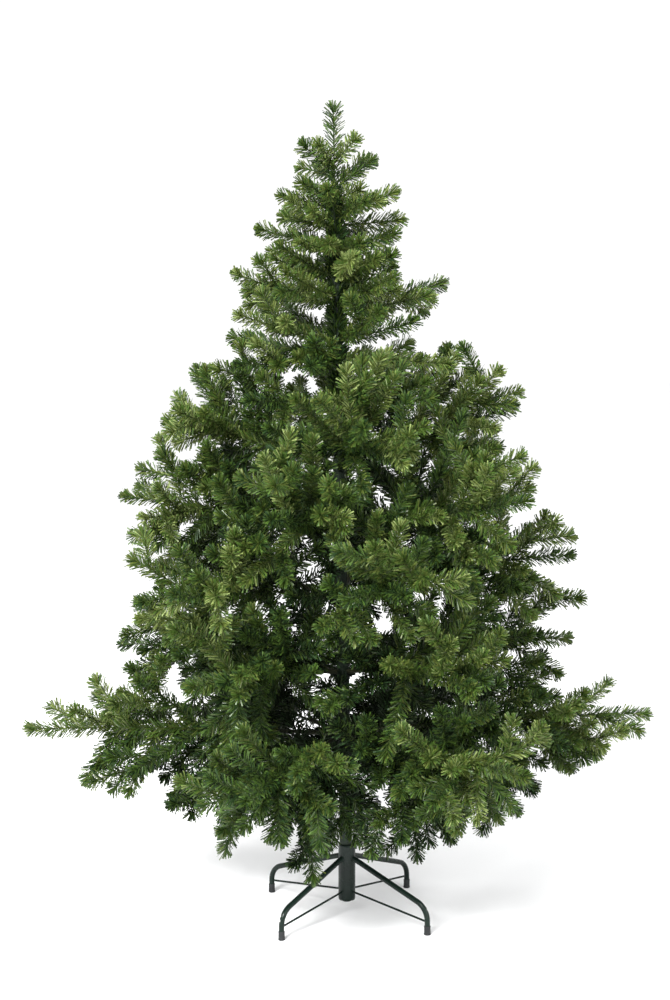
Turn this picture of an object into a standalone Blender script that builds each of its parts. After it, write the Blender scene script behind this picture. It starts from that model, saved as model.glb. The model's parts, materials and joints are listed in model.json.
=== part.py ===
"""Artificial christmas tree on its four-legged steel stand, 1.80 m tall.

Metres, +Z up. The floor is z = 0, the middle of the stand is the origin and
the viewer stands on the -Y side. The pole carries five tiers of hinged boughs
and a top section whose twigs spring straight from the pole. It leans a little
in its socket, and everything that it carries leans with it.
"""
import math
import random

import bmesh
import bpy
from mathutils import Matrix, Vector

# Stand
SOCKET_RADIUS = 0.019
SOCKET_BORE = 0.0172
SOCKET_LOW = 0.030
SOCKET_HIGH = 0.160
SOCKET_FLOOR = 0.006
SOCKET_ROUNDING = 0.004
FOOT_CIRCLE = 0.224
STAND_TURN = math.radians(5.8)
LEG_RADIUS = 0.006
LEG_BEND_LOW = 0.030
LEG_BEND_RADIUS = 0.040
LEG_SLOPE = math.radians(19)
CAP_HEIGHT = 0.020
CAP_FLOOR = 0.003
CAP_RADIUS_LOW = 0.0075
CAP_RADIUS_HIGH = 0.0070
BRACE_RADIUS = 0.0023
BRACE_AT_LEG = 0.029
BRACE_AT_SOCKET = 0.052
GAP = 0.0003

# Pole
POLE_LEAN = math.radians(1.0)
POLE_SECTIONS = ((0.62, 0.0140), (1.11, 0.0125), (1.60, 0.0095))   # upper end, radius
HINGE_RING_PROUD = 0.006
HINGE_RING_HEIGHT = 0.024
ROUND_SIDES = 10
LEG_SIDES = 8

# Boughs and sprays
BOUGH_RADIUS_ROOT = 0.0070
BOUGH_RADIUS_TIP = 0.0055
BOUGH_SIDES = 6
CORE_RADIUS = 0.0080
CORE_TAPER = 0.7
CORE_SIDES = 3
NEEDLE_REACH = 0.029
NEEDLE_BAND = 0.084
SPRAY_SHANK = 0.022
SPRAY_POINT = 0.030
STEM_ROOT_RADIUS = 0.0055
TWIG_ROOT_RADIUS = 0.0045
LEAST_TWIGS = 5
END_TWIG = 0.15
SPRAY_CLEARANCE = 0.042
LOWEST_TWIG = 0.165

# Each tier: its seed, height on the pole, bearing of its first bough, the boughs' reaches
# anticlockwise from there, slope at root and tip, the share of the reach before its
# first side twig, the side twigs' spacing, how they are rolled round the stem, in
# degrees (0 lies level, 90 stands up and -90 hangs), whether that first share is a
# hinged bough of its own or the start of the mass's stem, and, on the lowest tier, the
# share and roll of each bough's long drooping twig.
TIERS = (
    dict(name="skirt", seed=2, height=0.41, first=185, reach=(0.71, 0.57, 0.63, 0.71, 0.56, 0.52),
         rise=5, tip=-3, clear=0.20, spacing=0.046, rolls=(5, -75, -60, 45), hinged=True,
         droops=((), ((0.45, -105),), ((0.40, -70),), (), ((0.45, -75),), ((0.45, -75),))),
    dict(name="low", seed=2, height=0.55, first=163, reach=(0.55, 0.50, 0.52, 0.56, 0.48),
         rise=11, tip=-3, clear=0.26, spacing=0.056, rolls=(5, 62, -45), hinged=True),
    dict(name="middle", seed=2, height=0.71, first=4, reach=(0.53, 0.52, 0.48, 0.58, 0.48),
         rise=17, tip=-2, clear=0.28, spacing=0.056, rolls=(5, 62, -40), hinged=True),
    dict(name="upper", seed=2, height=0.86, first=183, reach=(0.49, 0.46, 0.50, 0.47, 0.46),
         rise=12, tip=9, clear=0.30, spacing=0.056, rolls=(5, 62, -45), hinged=False),
    dict(name="high", seed=2, height=1.01, first=186, reach=(0.39, 0.41, 0.40, 0.37),
         rise=18, tip=15, clear=0.30, spacing=0.056, rolls=(5, 62, -55), hinged=False),
)

# The top section: each length of it carries rings of twigs, from low to high
WHORLS = (
    dict(seed=190, low=1.13, high=1.25, counts=(6, 6), length=0.305, rise=2),
    dict(seed=188, low=1.27, high=1.38, counts=(6, 6), length=0.27, rise=12),
    dict(seed=240, low=1.40, high=1.50, counts=(6, 5), length=0.18, rise=12),
    dict(seed=343, low=1.52, high=1.59, counts=(5, 4), length=0.15, rise=12),
)
SLEEVE_WALL = 0.005
LEADER = dict(seed=1, low=1.61, high=1.80, count=7, length=0.11, rise=24, step=0.009)

# How far each bough strays from its tier's rule, in degrees
BOUGH_STRAY = dict(bearing=7, rise=3, tip=4)

# Side twigs on a stem: where the first one is, their angle to the stem, and their length,
# which grows by a share of the reach still to come up to the longest. A twig rolled lower
# than the hanging roll hangs more openly, but only on the bough's inner share. The drooping
# twigs hang nearly straight down, one to each side.
SIDE_TWIG = dict(first=0.02, angle=(38, 62), roll_stray=22, least=0.125, gain=0.25, full=0.88,
                 gain_stray=(0.75, 1.2), longest=0.26)
HANGING = dict(roll=-10, wider=8, within=0.62, outer_roll=-20)
DROOP = dict(roll_stray=10, angle=(66, 78), length=(0.25, 0.27))
FORK = dict(least=0.18, second=0.235, first_place=0.36, step=0.24, angle=(38, 60), roll=60,
            length=(0.10, 0.14))

# How the whorls' and the leader's twigs stray, lengths as shares
WHORL_TWIG = dict(margin=0.015, turn=47, bearing=14, rise=9, height=0.012, shorter=0.1,
                  length=(0.85, 1.08), forked=0.24, angle=(35, 55), fork_length=(0.09, 0.12))
LEADER_TWIG = dict(bearing=18, rise=(-16, 10), length=(0.9, 1.1))

# Needles: how far each one reaches as a share of the full reach, and its place in its band
NEEDLE_STRAY = (0.85, 1.0)
NEEDLE_PLACE = (0.75, 0.95)

# A twig's inner share lies in its own mass, and masses further apart never meet
ROOTED_SHARE = 0.3
FAR_APART = 0.6

STEEL_GREEN = ((0.012, 0.022, 0.016, 1), 0.38, 0.0)
RUBBER_BLACK = ((0.012, 0.012, 0.013, 1), 0.75, 0.0)
POLE_GREEN = ((0.014, 0.030, 0.014, 1), 0.45, 0.0)
NEEDLE_GREEN = ((0.050, 0.085, 0.022, 1), 0.6, 0.0)


def clear_scene():
    for old in list(bpy.data.objects):
        bpy.data.objects.remove(old)


def material(name, finish):
    colour, roughness, metallic = finish
    made = bpy.data.materials.new(name)
    made.use_nodes = True
    shader = made.node_tree.nodes["Principled BSDF"]
    shader.inputs["Base Color"].default_value = colour
    shader.inputs["Roughness"].default_value = roughness
    shader.inputs["Metallic"].default_value = metallic
    return made


def add_object(name, mesh, finish, parent=None, location=(0, 0, 0), turn=0.0):
    made = bpy.data.objects.new(name, mesh)
    bpy.context.scene.collection.objects.link(made)
    made.data.materials.append(material(name, finish))
    made.parent = parent
    made.location = location
    made.rotation_euler.z = turn
    return made


def mesh_from(name, bm, smooth=True):
    bmesh.ops.recalc_face_normals(bm, faces=bm.faces)
    mesh = bpy.data.meshes.new(name)
    bm.to_mesh(mesh)
    bm.free()
    if smooth:
        mesh.shade_smooth()
        mesh.set_sharp_from_angle(angle=math.radians(40))
    return mesh


def turned(name, profile, sides, closed=False):
    """A solid of revolution about Z; profile runs as (radius, height) points.

    An open profile gets a flat disc at each end, a closed one is a ring.
    """
    bm = bmesh.new()
    rings = []
    for radius, height in profile:
        rings.append([bm.verts.new((radius * math.cos(math.tau * i / sides),
                                    radius * math.sin(math.tau * i / sides), height))
                      for i in range(sides)])
    pairs = list(zip(rings, rings[1:]))
    if closed:
        pairs.append((rings[-1], rings[0]))
    else:
        bm.faces.new(rings[0][::-1])
        bm.faces.new(rings[-1])
    for lower, upper in pairs:
        for i in range(sides):
            j = (i + 1) % sides
            bm.faces.new((lower[i], lower[j], upper[j], upper[i]))
    return mesh_from(name, bm)


def tube_along(name, points, radius, sides):
    """A round bar through the points, its rings set square to the bends."""
    bm = bmesh.new()
    rings = []
    for k, point in enumerate(points):
        before = points[max(k - 1, 0)]
        after = points[min(k + 1, len(points) - 1)]
        along = (after - before).normalized()
        side = Vector((0, 1, 0))
        up = along.cross(side)
        rings.append([bm.verts.new(point + radius * (side * math.cos(math.tau * i / sides)
                                                     + up * math.sin(math.tau * i / sides)))
                      for i in range(sides)])
    bm.faces.new(rings[0][::-1])
    bm.faces.new(rings[-1])
    for lower, upper in zip(rings, rings[1:]):
        for i in range(sides):
            j = (i + 1) % sides
            bm.faces.new((lower[i], lower[j], upper[j], upper[i]))
    return mesh_from(name, bm)


def make_socket(stand):
    low, high = SOCKET_LOW, SOCKET_HIGH
    profile = [(SOCKET_RADIUS - SOCKET_ROUNDING, low), (SOCKET_RADIUS, low + SOCKET_ROUNDING),
               (SOCKET_RADIUS, high), (SOCKET_BORE, high), (SOCKET_BORE, low + SOCKET_FLOOR)]
    add_object("stand_socket", turned("stand_socket", profile, 2 * ROUND_SIDES), STEEL_GREEN, stand)


def leg_path():
    """The leg's axis in its own upright plane, from the foot to the socket."""
    points = [Vector((FOOT_CIRCLE, 0, CAP_FLOOR + GAP))]
    turn = math.pi / 2 - LEG_SLOPE
    steps = 5
    for k in range(steps + 1):
        angle = turn * k / steps
        points.append(Vector((FOOT_CIRCLE - LEG_BEND_RADIUS * (1 - math.cos(angle)), 0,
                              LEG_BEND_LOW + LEG_BEND_RADIUS * math.sin(angle))))
    inner = SOCKET_RADIUS + GAP + LEG_RADIUS * math.sin(LEG_SLOPE)
    last = points[-1]
    points.append(Vector((inner, 0, last.z + (last.x - inner) * math.tan(LEG_SLOPE))))
    return points


def make_legs(stand):
    path = leg_path()
    leg = tube_along("leg", path, LEG_RADIUS, LEG_SIDES)
    bore = LEG_RADIUS + GAP
    cap = turned("foot", [(CAP_RADIUS_LOW, 0), (CAP_RADIUS_HIGH, CAP_HEIGHT), (bore, CAP_HEIGHT),
                          (bore, CAP_FLOOR)], LEG_SIDES)
    start = Vector((FOOT_CIRCLE - LEG_RADIUS - GAP, 0, BRACE_AT_LEG))
    end = Vector((SOCKET_RADIUS + GAP, 0, BRACE_AT_SOCKET))
    brace = tube_along("brace", [start, end], BRACE_RADIUS, LEG_SIDES)
    for number, place in enumerate(("front_left", "front_right", "rear_right", "rear_left")):
        turn = STAND_TURN + math.radians(225 + 90 * number)
        foot = Vector((FOOT_CIRCLE * math.cos(turn), FOOT_CIRCLE * math.sin(turn), 0))
        add_object(f"leg_{place}", leg.copy(), STEEL_GREEN, stand, turn=turn)
        add_object(f"brace_{place}", brace.copy(), STEEL_GREEN, stand, turn=turn)
        add_object(f"foot_{place}", cap.copy(), RUBBER_BLACK, stand, foot, turn)


def pole_radius(height):
    return next(radius for top, radius in POLE_SECTIONS if height <= top)


def make_trunk(pole):
    """The stepped pole, with a ring for the boughs' hinges at each tier."""
    low = SOCKET_LOW + SOCKET_FLOOR + GAP + POLE_SECTIONS[0][1] * math.sin(POLE_LEAN)
    heights = [tier["height"] for tier in TIERS]
    profile = [(pole_radius(low), low)]
    floor = low
    for top, radius in POLE_SECTIONS:
        for height in heights:
            if floor < height < top:
                proud = radius + HINGE_RING_PROUD
                half = HINGE_RING_HEIGHT / 2
                profile += [(radius, height - half), (proud, height - half),
                            (proud, height + half), (radius, height + half)]
        profile.append((radius, top))
        above = [r for t, r in POLE_SECTIONS if t > top]
        if above:
            profile.append((above[0], top))
        floor = top
    add_object("trunk", turned("trunk", profile, ROUND_SIDES), POLE_GREEN, pole)


def ring_reach(radius, bearing):
    """How far a many-sided ring's nearest corner stands out along a bearing."""
    facet = math.tau / ROUND_SIDES
    return radius * math.cos((bearing + facet / 2) % facet - facet / 2)


def stray_by(rng, amount):
    return rng.uniform(-amount, amount)


def way_of(bearing, rise):
    return Vector((math.cos(bearing) * math.cos(rise), math.sin(bearing) * math.cos(rise),
                   math.sin(rise)))


class Bough:
    """A bough's axis: straight in plan, bending from its rise to its tip's slope."""

    def __init__(self, tier, number):
        rng = random.Random(f"{tier['seed']}-{tier['name']}-{number}")
        count = len(tier["reach"])
        self.name = f"{tier['name']}_{number + 1}"
        self.seed = tier["seed"]
        self.reach = tier["reach"][number]
        self.rolls = tier["rolls"]
        self.spacing = tier["spacing"]
        self.droops = tier["droops"][number] if "droops" in tier else ()
        self.clear = tier["clear"]
        self.height = tier["height"]
        self.hinged = tier["hinged"]
        stray = stray_by(rng, BOUGH_STRAY["bearing"]) if number else 0
        self.bearing = math.radians(tier["first"] + 360 * number / count + stray)
        self.slope = math.tan(math.radians(tier["rise"] + stray_by(rng, BOUGH_STRAY["rise"])))
        self.end_slope = math.tan(math.radians(tier["tip"] + stray_by(rng, BOUGH_STRAY["tip"])))
        flat = math.cos(math.pi / BOUGH_SIDES)
        radius = BOUGH_RADIUS_ROOT * flat if self.hinged else STEM_ROOT_RADIUS
        seat = ring_reach(pole_radius(self.height) + HINGE_RING_PROUD, self.bearing) + GAP
        self.root = (seat + radius * math.sin(math.atan(self.slope))) / self.reach

    def at(self, share):
        climb = self.slope * share + (self.end_slope - self.slope) * share * share / 2
        return Vector((self.reach * share * math.cos(self.bearing),
                       self.reach * share * math.sin(self.bearing),
                       self.height + self.reach * climb))

    def along(self, share):
        slope = self.slope + (self.end_slope - self.slope) * share
        return Vector((math.cos(self.bearing), math.sin(self.bearing), slope)).normalized()


class Spray:
    """One twig clothed in needles: ring centres from its root on, and its tip.

    Level 0 is a mass's stem, level 1 its side twigs and level 2 their own twigs.
    A side twig starts with a bare shank, which is sunk in what it springs from.
    """

    def __init__(self, seed, mass, label, points, level, parent=None):
        self.seed = seed
        self.mass = mass
        self.key = f"{seed}-{mass}-{label}"
        self.points = points
        self.level = level
        self.parent = parent
        self.bare_bands = 1 if level else 0

    def segments(self, skipped_share=0.0):
        """Its straight lengths, without those that start in the share next to its root."""
        first = int(skipped_share * (len(self.points) - 1) + 0.5)
        return list(zip(self.points[first:], self.points[first + 1:]))


def side_way(along, angle, roll):
    """The way that a side twig leaves a stem; roll 0 is level, 90 is upward."""
    side = along.cross(Vector((0, 0, 1))).normalized()
    up = side.cross(along)
    way = along * math.cos(angle) + math.sin(angle) * (side * math.cos(roll) + up * math.sin(roll))
    return way.normalized()


def straight_twig(start, way, length):
    clothed = length - SPRAY_SHANK - SPRAY_POINT
    bands = max(1, round(clothed / NEEDLE_BAND))
    stations = [0] + [SPRAY_SHANK + clothed * k / bands for k in range(bands + 1)] + [length]
    return [start + way * station for station in stations]


def stem_of(bough):
    """The stem follows the bough's bend, from the bough's tip or from the pole."""
    first = bough.clear + GAP / bough.reach if bough.hinged else bough.root
    last = 1 - SPRAY_POINT / bough.reach
    bands = max(3, round(bough.reach * (last - first) / NEEDLE_BAND))
    points = [bough.at(first + (last - first) * k / bands) for k in range(bands + 1)]
    return Spray(bough.seed, bough.name, "stem", points + [bough.at(1)], 0)


def twigs_on_stem(bough, stem):
    """Side twigs alternate left and right along the stem, each with a twig or two of its own."""
    twigs = []
    first_share = bough.clear + SIDE_TWIG["first"]
    last_share = 1 - END_TWIG / bough.reach
    count = max(LEAST_TWIGS, round(bough.reach * (last_share - bough.clear) / bough.spacing))
    for number in range(count):
        rng = random.Random(f"{stem.key}-{number}")
        share = first_share + (last_share - first_share) * number / (count - 1)
        roll = bough.rolls[number % len(bough.rolls)]
        angle = rng.uniform(*SIDE_TWIG["angle"])
        if roll < HANGING["roll"]:
            angle += HANGING["wider"]
            roll = roll if share < HANGING["within"] else HANGING["outer_roll"]
        roll = math.radians(roll + stray_by(rng, SIDE_TWIG["roll_stray"]))
        way = side_way(bough.along(share), math.radians(angle),
                       math.pi - roll if number % 2 else roll)
        gain = SIDE_TWIG["gain"] * (SIDE_TWIG["full"] - share) * rng.uniform(*SIDE_TWIG["gain_stray"])
        length = min(SIDE_TWIG["longest"], SIDE_TWIG["least"] + gain)
        start = bough.at(share)
        twig = Spray(bough.seed, bough.name, number, straight_twig(start, way, length), 1, stem)
        twigs.append(twig)
        forks = (length > FORK["least"]) + (length >= FORK["second"])
        for k in range(forks):
            fork = start + way * length * (FORK["first_place"] + FORK["step"] * k)
            angle = math.radians(rng.uniform(*FORK["angle"]))
            roll = math.radians(stray_by(rng, FORK["roll"]))
            fork_way = side_way(way, angle, roll if (k + number) % 2 else math.pi - roll)
            points = straight_twig(fork, fork_way, rng.uniform(*FORK["length"]))
            twigs.append(Spray(bough.seed, bough.name, f"{number}-{k}", points, 2, twig))
    for k, (share, roll) in enumerate(bough.droops):
        rng = random.Random(f"{stem.key}-droop-{k}")
        roll = math.radians(roll + stray_by(rng, DROOP["roll_stray"]))
        way = side_way(bough.along(share), math.radians(rng.uniform(*DROOP["angle"])), roll)
        points = straight_twig(bough.at(share), way, rng.uniform(*DROOP["length"]))
        twigs.append(Spray(bough.seed, bough.name, f"droop-{k}", points, 1, stem))
    return twigs


def whorl_sprays(number, whorl):
    """Rings of twigs rooted in the sleeve round the pole."""
    name = f"whorl_{number + 1}"
    seed = whorl["seed"]
    rule = WHORL_TWIG
    sprays = []
    root = pole_radius(whorl["high"]) + GAP + SLEEVE_WALL / 2
    lowest, highest = whorl["low"] + rule["margin"], whorl["high"] - rule["margin"]
    levels = len(whorl["counts"])
    for level, count in enumerate(whorl["counts"]):
        ring = lowest + (highest - lowest) * level / (levels - 1)
        for k in range(count):
            rng = random.Random(f"{seed}-{name}-{level}-{k}")
            turn = 360 * (k + level / levels) / count + rule["turn"] * number
            bearing = math.radians(turn + stray_by(rng, rule["bearing"]))
            rise = math.radians(whorl["rise"] + stray_by(rng, rule["rise"]))
            height = ring + stray_by(rng, rule["height"])
            length = whorl["length"] * (1 - rule["shorter"] * level) * rng.uniform(*rule["length"])
            way = way_of(bearing, rise)
            start = Vector((root * math.cos(bearing), root * math.sin(bearing), height))
            twig = Spray(seed, name, f"{level}-{k}", straight_twig(start, way, length), 1)
            sprays.append(twig)
            if length > rule["forked"]:
                angle = math.radians(rng.uniform(*rule["angle"]))
                fork_way = side_way(way, angle, rng.uniform(0, math.tau))
                fork = start + way * length / 2
                points = straight_twig(fork, fork_way, rng.uniform(*rule["fork_length"]))
                sprays.append(Spray(seed, name, f"{level}-{k}-0", points, 2, twig))
    return sprays


def leader_sprays():
    """The upright tip above the pole, with short twigs round its foot."""
    foot = Vector((0, 0, POLE_SECTIONS[-1][0] + GAP))
    points = straight_twig(foot, Vector((0, 0, 1)), LEADER["high"] - foot.z)
    stem = Spray(LEADER["seed"], "leader", "stem", points, 0)
    sprays = [stem]
    for k in range(LEADER["count"]):
        rng = random.Random(f"{stem.key}-{k}")
        stray = stray_by(rng, LEADER_TWIG["bearing"])
        bearing = math.radians(360 * k / LEADER["count"] + stray)
        rise = math.radians(LEADER["rise"] + rng.uniform(*LEADER_TWIG["rise"]))
        start = Vector((0, 0, LEADER["low"] + LEADER["step"] * k))
        length = LEADER["length"] * rng.uniform(*LEADER_TWIG["length"])
        points = straight_twig(start, way_of(bearing, rise), length)
        sprays.append(Spray(LEADER["seed"], "leader", k, points, 1, stem))
    return sprays


def gap_between(a, b, c, d):
    """The least distance between the straight lengths a-b and c-d."""
    first, second, offset = b - a, d - c, a - c
    aa, bb, ab = first.dot(first), second.dot(second), first.dot(second)
    ao, bo = first.dot(offset), second.dot(offset)
    spread = aa * bb - ab * ab
    s = min(1, max(0, (ab * bo - ao * bb) / spread)) if spread > 1e-12 else 0
    t = (ab * s + bo) / bb
    if t < 0:
        t, s = 0, min(1, max(0, -ao / aa))
    elif t > 1:
        t, s = 1, min(1, max(0, (ab - ao) / aa))
    return (offset + first * s - second * t).length


def crowded(spray, kept, limbs):
    """Whether a twig would leave its mass's space or touch a limb."""
    if min(point.z for point in spray.points) < LOWEST_TWIG:
        return True
    own = spray.segments(ROOTED_SHARE)
    for other in kept:
        if other.mass == spray.mass:
            continue
        if (other.points[1] - spray.points[1]).length > FAR_APART:
            continue
        if any(gap_between(a, b, c, d) < SPRAY_CLEARANCE for a, b in own for c, d in other.segments()):
            return True
    return any(gap_between(a, b, c, d) < SPRAY_CLEARANCE for a, b in own
               for name, c, d in limbs if name != spray.mass)


def grow(boughs):
    """Every twig that keeps clear of the other masses, stems first and finer twigs later."""
    twigs = []
    for bough in boughs:
        stem = stem_of(bough)
        twigs.append(stem)
        twigs += twigs_on_stem(bough, stem)
    for number, whorl in enumerate(WHORLS):
        twigs += whorl_sprays(number, whorl)
    twigs += leader_sprays()
    limbs = [(b.name, b.at(b.root), b.at(b.clear)) for b in boughs if b.hinged]
    kept = []
    for level in range(3):
        for spray in twigs:
            if spray.level != level or (spray.parent and spray.parent not in kept):
                continue
            if level == 0 or not crowded(spray, kept, limbs):
                kept.append(spray)
    return kept


def cross_section(spray, k):
    """Two directions square to the spray at its ring k."""
    along = (spray.points[k + 1] - spray.points[max(k - 1, 0)]).normalized()
    guide = Vector((0, 0, 1)) if abs(along.z) < 0.9 else Vector((1, 0, 0))
    side = along.cross(guide).normalized()
    return side, side.cross(along)


def spray_mesh(spray):
    """A slim three-sided core with a needle on each face of each band, bands turned in step."""
    rng = random.Random(spray.key)
    turn = rng.uniform(0, math.tau) if spray.level else math.pi / 2
    bm = bmesh.new()
    centres, tip = spray.points[:-1], spray.points[-1]
    bands = len(centres) - 1
    root_radius = TWIG_ROOT_RADIUS if spray.bare_bands else STEM_ROOT_RADIUS
    rings = []
    for k, centre in enumerate(centres):
        side, up = cross_section(spray, k)
        radius = CORE_RADIUS * (1 - (1 - CORE_TAPER) * k / bands) if k else root_radius
        ring = []
        for i in range(CORE_SIDES):
            angle = turn + math.tau * (i + 0.5 * max(k - spray.bare_bands, 0)) / CORE_SIDES
            ring.append(bm.verts.new(centre + radius * (side * math.cos(angle) + up * math.sin(angle))))
        rings.append(ring)
    bm.faces.new(rings[0][::-1])
    for k in range(bands):
        side, up = cross_section(spray, k)
        for i in range(CORE_SIDES):
            j = (i + 1) % CORE_SIDES
            corners = (rings[k][i], rings[k][j], rings[k + 1][j], rings[k + 1][i])
            if k < spray.bare_bands:
                bm.faces.new(corners)
                continue
            angle = turn + math.tau * (i + 0.5 * (k - spray.bare_bands) + 0.75) / CORE_SIDES
            reach = NEEDLE_REACH * rng.uniform(*NEEDLE_STRAY)
            foot = centres[k].lerp(centres[k + 1], rng.uniform(*NEEDLE_PLACE))
            needle = bm.verts.new(foot + reach * (side * math.cos(angle) + up * math.sin(angle)))
            for a, b in zip(corners, corners[1:] + corners[:1]):
                bm.faces.new((a, b, needle))
    point = bm.verts.new(tip)
    for i in range(CORE_SIDES):
        bm.faces.new((rings[-1][i], rings[-1][(i + 1) % CORE_SIDES], point))
    return mesh_from(f"{spray.mass}_twig", bm, smooth=False)


def outer_shell(mesh):
    """Drops what a join leaves apart from the main body: loose scraps and sealed hollows."""
    bm = bmesh.new()
    bm.from_mesh(mesh)
    bmesh.ops.triangulate(bm, faces=bm.faces)
    islands = []
    unseen = set(bm.verts)
    while unseen:
        stack = [unseen.pop()]
        island = set(stack)
        while stack:
            for edge in stack.pop().link_edges:
                for vert in edge.verts:
                    if vert in unseen:
                        unseen.remove(vert)
                        island.add(vert)
                        stack.append(vert)
        islands.append(island)
    largest = max(islands, key=len)
    extra = [vert for island in islands if island is not largest for vert in island]
    bmesh.ops.delete(bm, geom=extra, context="VERTS")
    bm.to_mesh(mesh)
    bm.free()


def joined(name, meshes):
    """One closed body from overlapping ones, by a single Boolean union on their collection."""
    pieces = bpy.data.collections.new(f"{name}_pieces")
    bpy.context.scene.collection.children.link(pieces)
    base = bpy.data.objects.new(name, meshes[0])
    bpy.context.scene.collection.objects.link(base)
    for mesh in meshes[1:]:
        pieces.objects.link(bpy.data.objects.new(f"{name}_piece", mesh))
    union = base.modifiers.new("Join twigs", "BOOLEAN")
    union.operation = "UNION"
    union.operand_type = "COLLECTION"
    union.collection = pieces
    union.solver = "EXACT"
    graph = bpy.context.evaluated_depsgraph_get()
    whole = bpy.data.meshes.new_from_object(base.evaluated_get(graph))
    for piece in list(pieces.objects) + [base]:
        bpy.data.objects.remove(piece)
    bpy.data.collections.remove(pieces)
    outer_shell(whole)
    return whole


def make_boughs(boughs, pole):
    for bough in boughs:
        if bough.hinged:
            root, tip = bough.at(bough.root), bough.at(bough.clear)
            bm = bmesh.new()
            bmesh.ops.create_cone(bm, cap_ends=True, segments=BOUGH_SIDES, radius1=BOUGH_RADIUS_ROOT,
                                  radius2=BOUGH_RADIUS_TIP, depth=(tip - root).length,
                                  matrix=Matrix.Translation(Vector((0, 0, (tip - root).length / 2))))
            lay = (tip - root).to_track_quat("Z", "Y").to_matrix().to_4x4()
            bmesh.ops.transform(bm, matrix=lay, verts=bm.verts)
            add_object(f"bough_{bough.name}", mesh_from("bough", bm), POLE_GREEN, pole, root)


def sleeve_mesh(whorl):
    bore = pole_radius(whorl["high"]) + GAP
    outer = bore + SLEEVE_WALL
    return turned("sleeve", [(outer, whorl["low"]), (outer, whorl["high"]), (bore, whorl["high"]),
                             (bore, whorl["low"])], ROUND_SIDES, closed=True)


def make_masses(kept, pole):
    names = list(dict.fromkeys(spray.mass for spray in kept))
    for name in names:
        meshes = [spray_mesh(spray) for spray in kept if spray.mass == name]
        if name.startswith("whorl"):
            meshes.insert(0, sleeve_mesh(WHORLS[int(name[-1]) - 1]))
        whole = joined(name, meshes)
        add_object(f"mass_{name}", whole, NEEDLE_GREEN, pole)


def main():
    clear_scene()
    stand = bpy.data.objects.new("stand", None)
    bpy.context.scene.collection.objects.link(stand)
    pole = bpy.data.objects.new("pole_axis", None)
    bpy.context.scene.collection.objects.link(pole)
    foot = Vector((0, 0, SOCKET_LOW + SOCKET_FLOOR))
    lean = Matrix.Rotation(-POLE_LEAN, 4, "Y")
    pole.matrix_world = Matrix.Translation(foot) @ lean @ Matrix.Translation(-foot)
    make_socket(stand)
    make_legs(stand)
    make_trunk(pole)
    boughs = [Bough(tier, number) for tier in TIERS for number in range(len(tier["reach"]))]
    make_boughs(boughs, pole)
    make_masses(grow(boughs), pole)


if __name__ == "__main__":
    main()
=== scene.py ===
"""Looks of an artificial christmas tree: needle brushes on wire twigs, pole, boughs and stand.

Metres, +Z up, the viewer on the -Y side. Twigs grow by the same seeded rule as the solids
that they replace, and go on to finer twigs inside the same reach.
"""
import functools
import json
import math
import random

import bmesh
import bpy
from bpy.props import FloatProperty, FloatVectorProperty, IntProperty, PointerProperty
from bpy.types import Operator, Panel, PropertyGroup
from mathutils import Matrix, Vector

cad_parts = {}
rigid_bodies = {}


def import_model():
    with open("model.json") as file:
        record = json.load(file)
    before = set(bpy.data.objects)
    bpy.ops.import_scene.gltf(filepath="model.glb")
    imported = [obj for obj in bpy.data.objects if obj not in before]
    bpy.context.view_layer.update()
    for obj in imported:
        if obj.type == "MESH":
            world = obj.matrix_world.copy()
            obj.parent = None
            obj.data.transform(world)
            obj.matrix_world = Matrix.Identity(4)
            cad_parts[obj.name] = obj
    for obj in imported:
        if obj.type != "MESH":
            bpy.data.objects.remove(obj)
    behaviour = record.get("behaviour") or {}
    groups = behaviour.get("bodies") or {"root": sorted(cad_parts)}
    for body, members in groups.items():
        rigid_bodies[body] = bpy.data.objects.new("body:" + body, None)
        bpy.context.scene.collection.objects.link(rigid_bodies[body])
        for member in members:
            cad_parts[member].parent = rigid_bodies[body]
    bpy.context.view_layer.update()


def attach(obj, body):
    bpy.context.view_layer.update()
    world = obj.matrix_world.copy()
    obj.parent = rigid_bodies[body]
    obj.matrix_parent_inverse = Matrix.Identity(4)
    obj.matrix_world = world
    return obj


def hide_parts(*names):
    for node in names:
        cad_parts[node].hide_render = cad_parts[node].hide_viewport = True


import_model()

bl_info = {
    "name": "Artificial christmas tree",
    "version": (1, 0, 0),
    "blender": (4, 5, 0),
    "location": "View3D > Sidebar > Tree",
    "description": "Dresses the packed solids of an artificial christmas tree",
    "category": "Object",
}

UP = Vector((0, 0, 1))

# Stand, as in the solids
SOCKET_RADIUS = 0.019
SOCKET_BORE = 0.0172
SOCKET_LOW = 0.030
SOCKET_HIGH = 0.160
SOCKET_FLOOR = 0.006
FOOT_CIRCLE = 0.224
STAND_TURN = math.radians(5.8)
PLACES = ("front_left", "front_right", "rear_right", "rear_left")
FIRST_PLACE = math.radians(225)
LEG_BEND_LOW = 0.030
LEG_BEND_RADIUS = 0.040
LEG_SLOPE = math.radians(19)
CAP_HEIGHT = 0.020
CAP_FLOOR = 0.003
BRACE_AT_LEG = 0.029
BRACE_AT_SOCKET = 0.052
GAP = 0.0003

# Pole
POLE_LEAN = math.radians(1.0)
POLE_SECTIONS = ((0.62, 0.0140), (1.11, 0.0125), (1.60, 0.0095))   # upper end, radius
HINGE_RING_PROUD = 0.006
HINGE_RING_HEIGHT = 0.024
HINGE_RING_SIDES = 10

# Boughs and sprays: a twig's bare shank and its point, the length of a band of needles, a
# stem's fewest side twigs and the length beyond the last of them, the least room between
# twigs of different masses, and how near the floor a twig may come
BOUGH_RADIUS_ROOT = 0.0070
BOUGH_SIDES = 6
SPRAY_SHANK = 0.022
SPRAY_POINT = 0.030
NEEDLE_BAND = 0.084
STEM_ROOT_RADIUS = 0.0055
LEAST_TWIGS = 5
END_TWIG = 0.15
SPRAY_CLEARANCE = 0.042
LOWEST_TWIG = 0.165

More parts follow.
